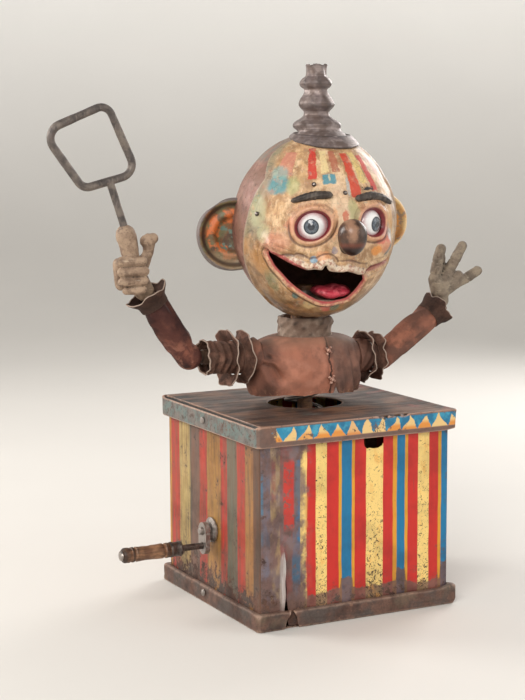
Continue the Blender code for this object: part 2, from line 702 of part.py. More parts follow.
def nose(head):
    root = on_head(3.0, -9.0)
    tip = Vector((-0.6, -78.5, 1.5))
    steps = 9
    path = [root.lerp(tip, k / steps) for k in range(-2, steps)]
    radii = [6.5, 6.9, 7.2, 7.8, 8.4, 8.8, 9.0, 8.9, 8.5, 7.6, 5.8]
    path.append(root.lerp(tip, 0.97))
    radii.append(3.6)
    bulb = solid("nose", *tube(path, radii, 14), NOSE_PAINT, parent=head, local=True)
    combine(bulb, helper("nose_seat_cutter", ellipsoid(-GAP), parent=head, local=True), "DIFFERENCE")


def ears(head):
    """Dished discs that face forwards, cut to fit the side of the head."""
    profile = [(0, 4.0), (14, 3.2), (19.5, 0.8), (21.5, -1.6), (23.2, -1.8), (23.6, 0.2), (21.5, 2.6), (15, 5.2),
               (0, 6.0)]
    limit = helper("ear_seat_cutter", ellipsoid(-GAP), parent=head, local=True)
    for side, sign in SIGN.items():
        at = (sign * 51.5, 10.0, -5.0)
        disc = solid(f"ear_{side}", *lathe(profile, 18), EAR_PAINT, at=at, along=(0, 1, 0), parent=head, local=True)
        combine(disc, limit, "DIFFERENCE")


def tongue(head):
    points, faces = ellipsoid(0, 16, 8)
    half = (14.0, 9.0, 4.5)
    points = [[p[i] * half[i] / HEAD_R[i] for i in range(3)] for p in points]
    root = on_head(-3, -52)
    solid("tongue", points, faces, TONGUE_PAINT, at=root * 0.76, along=-root, parent=head, local=True)


def hat(head):
    """A spun finial whose flared foot sits on the crown."""
    foot_r = 26.4
    clear = GAP
    up, across = HEAD_R[2] + clear, HEAD_R[0] + clear

    def crown(radius):
        return up * math.sqrt(1 - (radius / across) ** 2)

    z = HEAD[2]
    outside = [
        (foot_r, crown(foot_r)), (foot_r - 0.3, crown(foot_r) + 1.0), (22.0, crown(22) + 1.7), (17.5, 309.4 - z),
        (14.4, 312.6 - z), (15.6, 315.5 - z), (15.5, 318.2 - z), (12.0, 321.0 - z), (8.4, 324.0 - z),
        (8.4, 326.0 - z), (11.6, 329.8 - z), (10.6, 333.5 - z), (7.4, 338.0 - z), (7.4, 340.5 - z),
        (10.5, 344.0 - z), (9.6, 347.5 - z), (5.8, 351.5 - z), (6.4, 354.0 - z), (7.4, 356.0 - z),
        (6.8, HAT_TOP - z), (0, HAT_TOP - z),
    ]
    inside = [(0, crown(0)), (10, crown(10)), (18, crown(18))]
    solid("hat", *lathe(inside + outside, 16), GREY_METAL, parent=head, local=True)


# ---------------------------------------------------------------- arms

def arm_axis(side):
    shoulder = Vector((SIGN[side] * SHOULDER_X, 0, SHOULDER_Z[side]))
    return shoulder, Vector(ELBOW[side]), Vector(WRIST[side])


def upper_arm(side, turn):
    """A dowel that turns in the body block and ends in a flat eye at the elbow."""
    shoulder, elbow, _ = arm_axis(side)
    sign = SIGN[side]
    axle = cylinder(3.0, 16, SHOULDER_X, 16)
    arm = solid(f"upper_arm_{side}", *axle, WOOD, at=(0, 0, SHOULDER_Z[side]), along=(sign, 0, 0), parent=turn)
    ahead = (elbow - shoulder).normalized()
    rod = tube([shoulder - ahead * 2.0, elbow - ahead * 9.4], 5.0, 16)
    combine(arm, helper(f"arm_rod_{side}", rod), "UNION")
    eye = []
    for k in range(9):
        angle = math.radians(-90 + 180 * k / 8)
        eye.append((4.2 * math.cos(angle), 4.2 * math.sin(angle)))
    outline = eye + [(-12.0, 4.2), (-12.0, -4.2)]
    side_up = Vector((0, 1, 0)).cross(ahead)
    rings = [[elbow + ahead * u + side_up * v + Vector((0, y, 0)) for u, v in outline] for y in (-2.1, 2.1)]
    combine(arm, helper(f"arm_eye_{side}", loft(rings)), "UNION")
    hole = helper(f"arm_eye_cutter_{side}", cylinder(1.5 + RUN, -6, 6, 14), at=elbow, along=(0, 1, 0))
    combine(arm, hole, "DIFFERENCE")


def sleeve_and_ruffle(side, turn):
    """The cloth sleeve, gathered on the dowel at the shoulder, and the two flounces round it."""
    sign = SIGN[side]
    start = SHOULDER_X + 1.4
    end = SLEEVE_END[side]
    z = SHOULDER_Z[side]
    sleeve = [(5.4, start), (10.3, start), (10.6, end - 2), (10.9, end), (9.6, end), (9.2, end - 2),
              (8.9, start + 1.6), (5.4, start + 1.6)]
    rise = (Vector(ELBOW[side]) - Vector((sign * SHOULDER_X, 0, z))).z
    length = abs(ELBOW[side][0]) - SHOULDER_X
    item = solid(f"sleeve_{side}", *lathe(sleeve, 16, closed=True), SLEEVE_CLOTH, at=(0, 0, z), along=(sign, 0, 0),
                 parent=turn)
    slope = rise / length * 0.8
    for vertex in item.data.vertices:
        place = item.rotation_euler.to_matrix() @ vertex.co
        place.z += slope * (abs(place.x) - start * MM)
        vertex.co = item.rotation_euler.to_matrix().inverted() @ place
    gap = 11.2
    first = start + 0.6
    width = 4.6 if side == "right" else 1.6
    ruffle = [(gap, first), (17.0, first - 0.6), (17.4, first + 0.8), (gap + 1.8, first + 2.0)]
    if side == "right":
        ruffle += [(gap + 1.8, first + width), (18.6, first + width + 2.2), (18.8, first + width + 3.6),
                   (gap + 1.6, first + width + 3.4), (gap, first + width + 3.4)]
    else:
        ruffle += [(gap, first + 2.2)]
    solid(f"ruffle_{side}", *lathe(ruffle, 16, closed=True), SLEEVE_CLOTH, at=(0, 0, z), along=(sign, 0, 0), parent=turn)


def forearm(side, bend):
    _, elbow, wrist = arm_axis(side)
    ahead = (wrist - elbow).normalized()
    length = (wrist - elbow).length
    ball = 8.6
    profile = [(0, -ball), (5.0, -7.0), (7.8, -3.6), (ball, 0.0), (ball + 0.4, 8.0), (9.2, length * 0.45),
               (8.6, length * 0.75), (8.2, length), (0, length)]
    arm = solid(f"forearm_{side}", *lathe(profile, 14), TUNIC, at=elbow, along=ahead, parent=bend)
    side_up = Vector((0, 1, 0)).cross(ahead)
    rings = []
    for y in (-2.5, 2.5):
        corners = [(-12, -12), (6.0, -12), (6.0, 12), (-12, 12)]
        rings.append([elbow + ahead * u + side_up * v + Vector((0, y, 0)) for u, v in corners])
    combine(arm, helper(f"elbow_slot_cutter_{side}", loft(rings), parent=None), "DIFFERENCE")
    pin_hole = helper(f"elbow_pin_cutter_{side}", cylinder(1.5 + GAP, -12, 12, 16), at=elbow, along=(0, 1, 0))
    combine(arm, pin_hole, "DIFFERENCE")
    bore = helper(f"wrist_bore_cutter_{side}", cylinder(3.0 + RUN, length - 12, length + 3, 16), at=elbow, along=ahead)
    combine(arm, bore, "DIFFERENCE")
    solid(f"elbow_pin_{side}", *cylinder(1.5, -8.2, 8.2, 14), STEEL, at=elbow, along=(0, 1, 0), parent=bend)
    flare = [(8.2 + GAP, length - 3.5), (9.6, length - 3.5), (9.8, length + 0.5), (11.8, length + 5.5),
             (11.0, length + 5.8), (9.0, length + 0.8), (8.2 + GAP, length + 0.2)]
    solid(f"cuff_{side}", *lathe(flare, 14, closed=True), SLEEVE_CLOTH, at=elbow, along=ahead, parent=bend)


FIST = [                        # start, end, radius at each
    ((-116.5, 0, 212.5), (-121, 1, 219), 6.4, 8.0), ((-123, 2, 219), (-125.5, 3, 231), 8.4, 8.0),
    ((-130, -6.0, 231), (-121, -8.0, 230), 4.6, 4.4), ((-130.5, -6.5, 224), (-120.5, -8.6, 223), 4.5, 4.4),
    ((-130, -6.0, 217), (-121, -8.0, 216), 4.2, 4.0), ((-130, 1, 229), (-129.5, 2, 219), 5.0, 4.8),
    ((-124.6, -1, 234), (-128.7, -1, 250.5), 6.2, 6.4), ((-118, -1, 226), (-112, -2, 239), 5.2, 4.6),
    ((-112.5, -2, 239), (-109.8, -2, 244.5), 4.8, 4.4),
]
OPEN_HAND = [
    ((109.6, 0, 195.0), (108, 0, 202), 4.6, 6.2), ((107.4, 0, 201.5), (104.5, 0, 211), 6.0, 5.6),
    ((108.5, 0, 202), (112, 0, 212), 6.2, 5.8), ((110.5, 0, 202), (119.5, -1, 208), 6.0, 5.0),
    ((103.6, 0, 212), (106.8, -1, 230.5), 4.4, 4.0), ((113.5, 0, 213), (124.6, -1, 232), 4.4, 3.8),
    ((120, -1, 207), (137.2, -2, 214.2), 4.6, 3.8), ((108.5, 2, 212), (112, 3, 226), 4.0, 3.4),
]


def hand(side, fingers, twist):
    """A carved hand, its fingers melted into the palm, on a peg that turns in the forearm."""
    _, elbow, wrist = arm_axis(side)
    ahead = (wrist - elbow).normalized()
    peg = tube([wrist - ahead * 11.0, wrist + ahead * 0.4, wrist + ahead * 1.4, wrist + ahead * 8.0],
               [2.9, 2.9, 4.6, 5.4], 16)
    lumps = [capsule(a, b, r0, r1) for a, b, r0, r1 in fingers]
    carved = solid(f"hand_{side}", *joined(*lumps), HAND_PAINT)
    melt = carved.modifiers.new("melt", "REMESH")
    melt.mode = "VOXEL"
    melt.voxel_size = 1.0 * MM
    trim = carved.modifiers.new("trim", "DECIMATE")
    trim.ratio = 0.04
    combine(carved, helper(f"wrist_peg_{side}", peg), "UNION")
    set_origin(carved, wrist, twist)
    return carved


# The loop's corners and the rod's ends, in the plane of the arm.
WAND_LOOP = [(-183.0, 0.0, 313.5), (-157.0, 0.0, 278.2), (-120.5, 0.0, 287.5), (-140.2, 0.0, 330.8)]
WAND_ROUND = [9.0, 7.5, 8.5, 7.5]
ROD_TOP = (-139.4, -0.5, 282.0)
ROD_END = (-120.6, -1.5, 223.0)


def rounded_loop(corners, radii, steps=5):
    """A closed path round the corners, each turned with its own radius."""
    path = []
    count = len(corners)
    for i, corner in enumerate(corners):
        here = Vector(corner)
        before = (Vector(corners[i - 1]) - here).normalized()
        after = (Vector(corners[(i + 1) % count]) - here).normalized()
        half = before.angle(after) / 2
        centre = here + (before + after).normalized() * radii[i] / math.sin(half)
        start = here + before * radii[i] / math.tan(half) - centre
        end = here + after * radii[i] / math.tan(half) - centre
        for k in range(steps + 1):
            path.append(centre + start.normalized().slerp(end.normalized(), k / steps) * radii[i])
    return path


def wand(twist, fist):
    ring = tube(rounded_loop(WAND_LOOP, WAND_ROUND, 4), 2.9, 8, closed=True)
    stick = solid("wand", *ring, WAND_METAL)
    rod = helper("wand_rod", tube([ROD_TOP, ROD_END], 2.5, 12))
    combine(stick, rod, "UNION")
    set_origin(stick, WRIST["right"], twist)
    past = Vector(ROD_TOP)
    ahead = (Vector(ROD_END) - past).normalized()
    grip = helper("rod_socket_cutter", tube([past, Vector(ROD_END) + ahead * GAP], 2.5 + GAP, 12))
    combine(fist, grip, "DIFFERENCE")


# ---------------------------------------------------------------- assembly

clear_scene()
crank_turn = pivot("crank_pivot", (0, 0, CRANK_Z))
grip_turn = pivot("grip_pivot", (0, 0, CRANK_Z - CRANK_THROW), crank_turn)
drum_turn = pivot("drum_pivot", (0, 0, DRUM_Z))
figure_slide = pivot("figure_slide", (0, 0, SPRING_TOP))
neck_turn = pivot("neck_pivot", (0, 0, NECK_Z), figure_slide)
head_centre = pivot("head_centre", HEAD, neck_turn)
head_centre.rotation_euler.z = math.radians(HEAD_YAW)
cap_rivet_cutter = helper("cap_rivet_cutter", moved(along_x(cylinder(1.2 + GAP, -80, 80, 12)), (0, *CAP_RIVET)))
base_rivet_cutter = helper("base_rivet_cutter", moved(along_x(cylinder(1.2 + GAP, -80, 80, 12)), (0, *BASE_RIVET)))

base_pan()
box_body()
cap()
case_rivets()
crank_bush()
crank_assembly(crank_turn, grip_turn)
gear("pinion", PINION_TEETH, -58.0, -52.5, 2.5 + GAP, CRANK_Z, False, crank_turn, BRASS)
gear("drum_gear", DRUM_TEETH, -57.5, -53.0, 2.0 + GAP, DRUM_Z, True, drum_turn, BRASS)
drum_assembly(drum_turn)
movement_frame()
comb_and_bridge()
spring_seat()
guide_tube()
jack_spring()
stem(figure_slide)
body_block(figure_slide)
torso_shell(figure_slide)
buttons(figure_slide)
neck(figure_slide)
head_shells(head_centre)
head_plate(head_centre, neck_turn)
eyes(head_centre)
brows(head_centre)
nose(head_centre)
ears(head_centre)
tongue(head_centre)
hat(head_centre)
for arm_side, hand_shape in (("right", FIST), ("left", OPEN_HAND)):
    shoulder_turn = pivot(f"shoulder_pivot_{arm_side}", arm_axis(arm_side)[0], figure_slide)
    elbow_bend = pivot(f"elbow_pivot_{arm_side}", ELBOW[arm_side], shoulder_turn)
    wrist_turn = pivot(f"wrist_pivot_{arm_side}", WRIST[arm_side], elbow_bend)
    upper_arm(arm_side, shoulder_turn)
    sleeve_and_ruffle(arm_side, shoulder_turn)
    forearm(arm_side, elbow_bend)
    carved_hand = hand(arm_side, hand_shape, wrist_turn)
    if arm_side == "right":
        wand(wrist_turn, carved_hand)
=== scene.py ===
"""The looks of the jack in the box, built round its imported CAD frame.

Lengths here are millimetres in the row frame, and piece() turns them into metres. +Z is up, the case's
front faces -Y and the crank is on its -X wall, the figure's own right.
"""
import math

import bpy
import numpy as np
from mathutils import Matrix, Vector, noise


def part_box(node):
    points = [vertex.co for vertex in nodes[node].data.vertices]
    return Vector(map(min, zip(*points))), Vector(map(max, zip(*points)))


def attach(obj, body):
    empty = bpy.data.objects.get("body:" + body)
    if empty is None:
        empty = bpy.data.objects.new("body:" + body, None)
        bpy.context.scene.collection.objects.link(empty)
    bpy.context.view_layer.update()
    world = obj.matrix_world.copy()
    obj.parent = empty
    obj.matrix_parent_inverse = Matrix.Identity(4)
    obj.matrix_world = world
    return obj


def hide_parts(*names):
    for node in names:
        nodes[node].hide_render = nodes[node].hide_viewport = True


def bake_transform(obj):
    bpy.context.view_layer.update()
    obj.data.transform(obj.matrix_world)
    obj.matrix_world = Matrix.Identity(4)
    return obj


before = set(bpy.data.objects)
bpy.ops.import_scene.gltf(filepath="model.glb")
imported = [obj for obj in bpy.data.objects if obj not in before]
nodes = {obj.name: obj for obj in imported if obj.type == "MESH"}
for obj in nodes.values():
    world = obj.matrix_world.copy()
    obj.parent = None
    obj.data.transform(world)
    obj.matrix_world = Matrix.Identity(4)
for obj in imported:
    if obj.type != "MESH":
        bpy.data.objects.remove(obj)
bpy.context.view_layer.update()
MM = 0.001


def cad_range(node, axis):
    """The lowest and highest coordinate of a CAD node along one axis, in millimetres."""
    low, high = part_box(node)
    return low[axis] / MM, high[axis] / MM


# ------------------------------------------------------------------ paints

def tone(red, green, blue):
    """A colour given as it looks on a screen, 0 to 255, as the linear colour that shaders take."""
    linear = []
    for level in (red, green, blue):
        share = level / 255
        linear.append(share / 12.92 if share <= 0.04045 else ((share + 0.055) / 1.055) ** 2.4)
    return (*linear, 1.0)


class Signal:
    """A node's output. Arithmetic on it adds Math nodes."""

    def __init__(self, paint, socket):
        self.paint = paint
        self.socket = socket

    def __add__(self, other):
        return self.paint.math("ADD", self, other)

    def __radd__(self, other):
        return self.paint.math("ADD", self, other)

    def __sub__(self, other):
        return self.paint.math("SUBTRACT", self, other)

    def __rsub__(self, other):
        return self.paint.math("SUBTRACT", other, self)

    def __mul__(self, other):
        return self.paint.math("MULTIPLY", self, other)

    def __rmul__(self, other):
        return self.paint.math("MULTIPLY", self, other)

    def __truediv__(self, other):
        return self.paint.math("DIVIDE", self, other)

    def __neg__(self):
        return self.paint.math("MULTIPLY", self, -1.0)

    def __abs__(self):
        return self.paint.math("ABSOLUTE", self, 0.0)


class Paint:
    """A node material written as expressions. x, y and z are the place on the resting object, in millimetres."""

    def __init__(self, name, roughness=0.6, metallic=0.0, coat=0.0, specular=0.5):
        self.material = bpy.data.materials.new(name)
        self.material.use_nodes = True
        self.tree = self.material.node_tree
        self.shader = self.tree.nodes["Principled BSDF"]
        self.shader.inputs["Roughness"].default_value = roughness
        self.shader.inputs["Metallic"].default_value = metallic
        self.shader.inputs["Specular IOR Level"].default_value = specular
        self.shader.inputs["Coat Weight"].default_value = coat
        self.shader.inputs["Coat Roughness"].default_value = 0.12
        coords = self.node("ShaderNodeTexCoord").outputs["Object"]
        scaled = self.node("ShaderNodeVectorMath", operation="SCALE")
        self.tree.links.new(coords, scaled.inputs[0])
        scaled.inputs["Scale"].default_value = 1 / MM
        self.place = Signal(self, scaled.outputs[0])
        split = self.node("ShaderNodeSeparateXYZ")
        self.tree.links.new(scaled.outputs[0], split.inputs[0])
        self.x, self.y, self.z = (Signal(self, out) for out in split.outputs)

    def node(self, kind, **settings):
        made = self.tree.nodes.new(kind)
        for key, value in settings.items():
            setattr(made, key, value)
        return made

    def feed(self, socket, value):
        if isinstance(value, Signal):
            self.tree.links.new(value.socket, socket)
        else:
            socket.default_value = value

    def math(self, operation, a, b=0.0, clamp=False):
        made = self.node("ShaderNodeMath", operation=operation, use_clamp=clamp)
        self.feed(made.inputs[0], a)
        self.feed(made.inputs[1], b)
        return Signal(self, made.outputs[0])

    def vector(self, x, y, z):
        made = self.node("ShaderNodeCombineXYZ")
        for socket, value in zip(made.inputs, (x, y, z)):
            self.feed(socket, value)
        return Signal(self, made.outputs[0])

    def noise(self, size, detail=4.0, roughness=0.55, distortion=0.0, at=None, stretch=(1, 1, 1), seed=0):
        """Cloudy noise from 0 to 1 with lumps about `size` across, drawn out by `stretch`."""
        mapping = self.node("ShaderNodeMapping")
        self.feed(mapping.inputs["Vector"], at or self.place)
        mapping.inputs["Location"].default_value = (seed * 7.3, seed * 3.1, seed * 5.7)
        mapping.inputs["Scale"].default_value = [1 / (size * share) for share in stretch]
        made = self.node("ShaderNodeTexNoise")
        self.feed(made.inputs["Vector"], Signal(self, mapping.outputs[0]))
        made.inputs["Scale"].default_value = 1.0
        made.inputs["Detail"].default_value = detail
        made.inputs["Roughness"].default_value = roughness
        made.inputs["Distortion"].default_value = distortion
        return Signal(self, made.outputs["Fac"])

    def cracks(self, size, width, at=None, seed=0):
        """1 on a net of thin lines round cells about `size` across."""
        mapping = self.node("ShaderNodeMapping")
        self.feed(mapping.inputs["Vector"], at or self.place)
        mapping.inputs["Location"].default_value = (seed * 4.1, seed * 2.7, seed * 6.3)
        mapping.inputs["Scale"].default_value = (1 / size,) * 3
        made = self.node("ShaderNodeTexVoronoi", feature="DISTANCE_TO_EDGE")
        self.feed(made.inputs["Vector"], Signal(self, mapping.outputs[0]))
        made.inputs["Scale"].default_value = 1.0
        return 1.0 - self.ramp(Signal(self, made.outputs["Distance"]), 0.0, width)

    def per_cell(self, index, seed=0):
        """A random number from 0 to 1 for each whole number."""
        made = self.node("ShaderNodeTexWhiteNoise", noise_dimensions="1D")
        self.feed(made.inputs["W"], index + seed * 17.0)
        return Signal(self, made.outputs["Value"])

    def ramp(self, value, low, high):
        """0 below low, 1 above high, smooth between. With low above high it falls instead."""
        made = self.node("ShaderNodeMapRange", interpolation_type="SMOOTHSTEP")
        self.feed(made.inputs["Value"], value)
        self.feed(made.inputs["From Min"], min(low, high) if not isinstance(low, Signal) else low)
        self.feed(made.inputs["From Max"], max(low, high) if not isinstance(low, Signal) else high)
        if not isinstance(low, Signal) and low > high:
            made.inputs["To Min"].default_value = 1.0
            made.inputs["To Max"].default_value = 0.0
        return Signal(self, made.outputs["Result"])

    def band(self, value, low, high, soft=0.3):
        return self.ramp(value, low - soft, low + soft) * self.ramp(value, high + soft, high - soft)

    def mix(self, share, a, b, blend="MIX"):
        made = self.node("ShaderNodeMix", data_type="RGBA", blend_type=blend, clamp_factor=True)
        self.feed(made.inputs["Factor"], share)
        colour_a, colour_b = (s for s in made.inputs if s.type == "RGBA")
        self.feed(colour_a, a)
        self.feed(colour_b, b)
        return Signal(self, next(s for s in made.outputs if s.type == "RGBA"))

    def blotch(self, colours, size, seed=0, **more):
        """Colours that run into each other in clouds."""
        mixed = colours[0]
        for k, colour in enumerate(colours[1:]):
            cloud = self.noise(size, seed=seed + 3 * k, **more)
            mixed = self.mix(self.ramp(cloud, 0.42, 0.62), mixed, colour)
        return mixed

    def dim(self, colour, amount):
        """Darkens a colour by a signal, 0 for none and 1 for black."""
        shade = self.mix(amount, (1, 1, 1, 1), (0, 0, 0, 1))
        return self.mix(1.0, colour, shade, "MULTIPLY")

    def attribute(self, name):
        made = self.node("ShaderNodeAttribute", attribute_name=name)
        return Signal(self, made.outputs["Fac"])

    def pointiness(self, low, high):
        made = self.node("ShaderNodeNewGeometry")
        return self.ramp(Signal(self, made.outputs["Pointiness"]), low, high)

    def finish(self, colour, roughness=None, metallic=None, height=None):
        """Links the shader. Height is in millimetres."""
        self.feed(self.shader.inputs["Base Color"], colour)
        if roughness is not None:
            self.feed(self.shader.inputs["Roughness"], roughness)
        if metallic is not None:
            self.feed(self.shader.inputs["Metallic"], metallic)
        if height is not None:
            bump = self.node("ShaderNodeBump")
            bump.inputs["Strength"].default_value = 1.0
            bump.inputs["Distance"].default_value = MM
            self.feed(bump.inputs["Height"], height)
            self.tree.links.new(bump.outputs[0], self.shader.inputs["Normal"])
        return self.material


# ------------------------------------------------------------------ meshes

def piece(name, points, faces, finish, body, replaces=(), sharp=35.0):
    """A mesh in the row frame that rides on a CAD body."""
    mesh = bpy.data.meshes.new(name)
    mesh.from_pydata((np.asarray(points, float).reshape(-1, 3) * MM).tolist(), [], [list(f) for f in faces])
    mesh.update()
    mesh.shade_smooth()
    mesh.set_sharp_from_angle(angle=math.radians(sharp))
    mesh.materials.append(finish)
    made = bpy.data.objects.new(name, mesh)
    bpy.context.scene.collection.objects.link(made)
    if body:
        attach(made, body)
    if replaces:
        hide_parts(*replaces)
    return made


def grid(rows, columns, close_rows=False, close_columns=False):
    """Quads over a grid of points. Rows come first in the point order."""
    last_row = rows if close_rows else rows - 1
    last_column = columns if close_columns else columns - 1
    i, j = np.meshgrid(np.arange(last_row), np.arange(last_column), indexing="ij")
    below, right = (i + 1) % rows, (j + 1) % columns
    corners = [i * columns + j, i * columns + right, below * columns + right, below * columns + j]
    return np.stack(corners, -1).reshape(-1, 4)


def joined(*shapes):
    """Several (points, faces) as one."""
    points, faces, count = [], [], 0
    for shape_points, shape_faces in shapes:
        shape_points = np.asarray(shape_points, float).reshape(-1, 3)
        points.append(shape_points)
        faces += [[count + int(k) for k in face] for face in shape_faces]
        count += len(shape_points)
    return np.concatenate(points), faces


def rough(points, size, seed=0.0):
    """Smooth noise from about -1 to 1 at each point, with lumps about `size` across."""
    shift = Vector((seed * 13.7 + 0.37, seed * 5.3 + 0.71, seed * 9.1 + 0.13))
    flat = np.asarray(points, float).reshape(-1, 3) / size
    return np.array([noise.noise(Vector(p) + shift) for p in flat])


def smooth_step(value, low, high):
    share = np.clip((value - low) / (high - low), 0, 1)
    return share * share * (3 - 2 * share)


def bump(value, centre, width):
    """A smooth hump of height 1 and half width `width`."""
    return np.exp(-((value - centre) / (0.6 * width)) ** 2)


def rounded(points, closed=True, steps=8):
    """A Catmull-Rom curve through points."""
    points = np.asarray(points, float)
    count = len(points)
    spans = count if closed else count - 1
    out = []
    for k in range(spans):
        pick = [(k + d) % count if closed else min(max(k + d, 0), count - 1) for d in (-1, 0, 1, 2)]
        p0, p1, p2, p3 = points[pick]
        for t in np.arange(steps) / steps:
            out.append(0.5 * (2 * p1 + (p2 - p0) * t + (2 * p0 - 5 * p1 + 4 * p2 - p3) * t * t
                              + (3 * p1 - p0 - 3 * p2 + p3) * t ** 3))
    if not closed:
        out.append(points[-1])
    return np.array(out)


def frames_along(path, closed=False):
    """Two directions square to the path at each of its points, carried along without twist."""
    ahead = np.roll(path, -1, 0) - np.roll(path, 1, 0)
    if not closed:
        ahead[0], ahead[-1] = path[1] - path[0], path[-1] - path[-2]
    ahead /= np.linalg.norm(ahead, axis=1)[:, None]
    start = np.array((0.0, 1.0, 0.0)) if abs(ahead[0][1]) < 0.9 else np.array((1.0, 0.0, 0.0))
    sides, ups = [], []
    side = start
    for direction in ahead:
        side = side - direction * (side @ direction)
        side /= np.linalg.norm(side)
        sides.append(side)
        ups.append(np.cross(direction, side))
    return np.array(sides), np.array(ups), ahead


def tube(path, radii, around=24, shape=None, closed=False, capped=True):
    """A tube along a path. shape(ring, angle) gives an added length for each point's radius."""
    path = np.asarray(path, float)
    radii = np.broadcast_to(radii, (len(path),))
    sides, ups, _ = frames_along(path, closed)
    angle = np.arange(around) * math.tau / around
    reach = np.repeat(radii[:, None], around, 1)
    if shape is not None:
        reach = reach + shape(np.arange(len(path))[:, None] / (len(path) - 1), angle[None, :])
    rim = sides[:, None, :] * np.cos(angle)[None, :, None] + ups[:, None, :] * np.sin(angle)[None, :, None]
    points = path[:, None, :] + rim * reach[:, :, None]
    faces = [list(f) for f in grid(len(path), around, close_rows=closed, close_columns=True)]
    points = points.reshape(-1, 3)
    if capped and not closed:
        last = (len(path) - 1) * around
        count = len(points)
        points = np.concatenate([points, path[:1], path[-1:]])
        for k in range(around):
            follow = (k + 1) % around
            faces.append([count, follow, k])
            faces.append([count + 1, last + k, last + follow])
    return points, faces


def turned(profile, around=48, centre=(0, 0, 0), along=(0, 0, 1), wobble=None):
    """A lathe shape from (radius, height) pairs. A radius of 0 closes it. wobble(height, angle) adds to the radius."""
    profile = np.asarray(profile, float)
    angle = np.arange(around) * math.tau / around
    radius = np.repeat(profile[:, :1], around, 1)
    if wobble is not None:
        radius = radius + np.where(radius > 0, wobble(profile[:, 1:2], angle[None, :]), 0)
    height = np.repeat(profile[:, 1:2], around, 1)
    local = np.stack([radius * np.cos(angle), radius * np.sin(angle), height], -1).reshape(-1, 3)
    turn = np.array(Vector((0, 0, 1)).rotation_difference(Vector(along)).to_matrix())
    points = local @ turn.T + np.asarray(centre, float)
    return points, [list(f)[::-1] for f in grid(len(profile), around, close_columns=True)][::1]


def thicken(made, thickness, offset=-1.0):
    """Solidify, in millimetres. An offset of -1 grows it inwards."""
    wall = made.modifiers.new("wall", "SOLIDIFY")
    wall.thickness = thickness * MM
    wall.offset = offset
    wall.use_even_offset = False
    return made


def settle(made):
    """Applies an object's modifiers."""
    graph = bpy.context.evaluated_depsgraph_get()
    mesh = bpy.data.meshes.new_from_object(made.evaluated_get(graph))
    made.modifiers.clear()
    made.data = mesh
    mesh.shade_smooth()
    mesh.set_sharp_from_angle(angle=math.radians(35))
    return made


def cut(made, *shapes):
    """Cuts closed (points, faces) shapes out of a piece."""
    for points, faces in shapes:
        mesh = bpy.data.meshes.new("cutter")
        mesh.from_pydata((np.asarray(points, float) * MM).tolist(), [], [list(f) for f in faces])
        cutter = bpy.data.objects.new("cutter", mesh)
        bpy.context.scene.collection.objects.link(cutter)
        modifier = made.modifiers.new("cut", "BOOLEAN")
        modifier.operation = "DIFFERENCE"
        modifier.object = cutter
        settle(made)
        bpy.data.objects.remove(cutter)
    return made


def prism(outline, y0, y1):
    """A closed shape from an (x, z) outline that runs counter-clockwise seen from the front."""
    count = len(outline)
    points = [(x, y, z) for y in (y0, y1) for x, z in outline]
    faces = [list(range(count))[::1], list(range(2 * count - 1, count - 1, -1))]
    for k in range(count):
        follow = (k + 1) % count
        faces.append([k, count + k, count + follow, follow])
    return points, faces


# ------------------------------------------------------------------ stage

CAMERA_AT = (-538.1, -984.7, 316.8)
CAMERA_TURN = -27.2          # degrees about +Z, from looking along +Y
CAMERA_DROP = 7.61           # degrees below the horizon
CAMERA_ROLL = -0.256
LENS = 86.35                 # on a 36 mm sensor along the picture's long side
BOWL_START, BOWL_RADIUS, BOWL_HEIGHT = 1300.0, 2800.0, 2600.0     # where the floor starts to rise, and its wall
BOWL_GLOW = 0.62


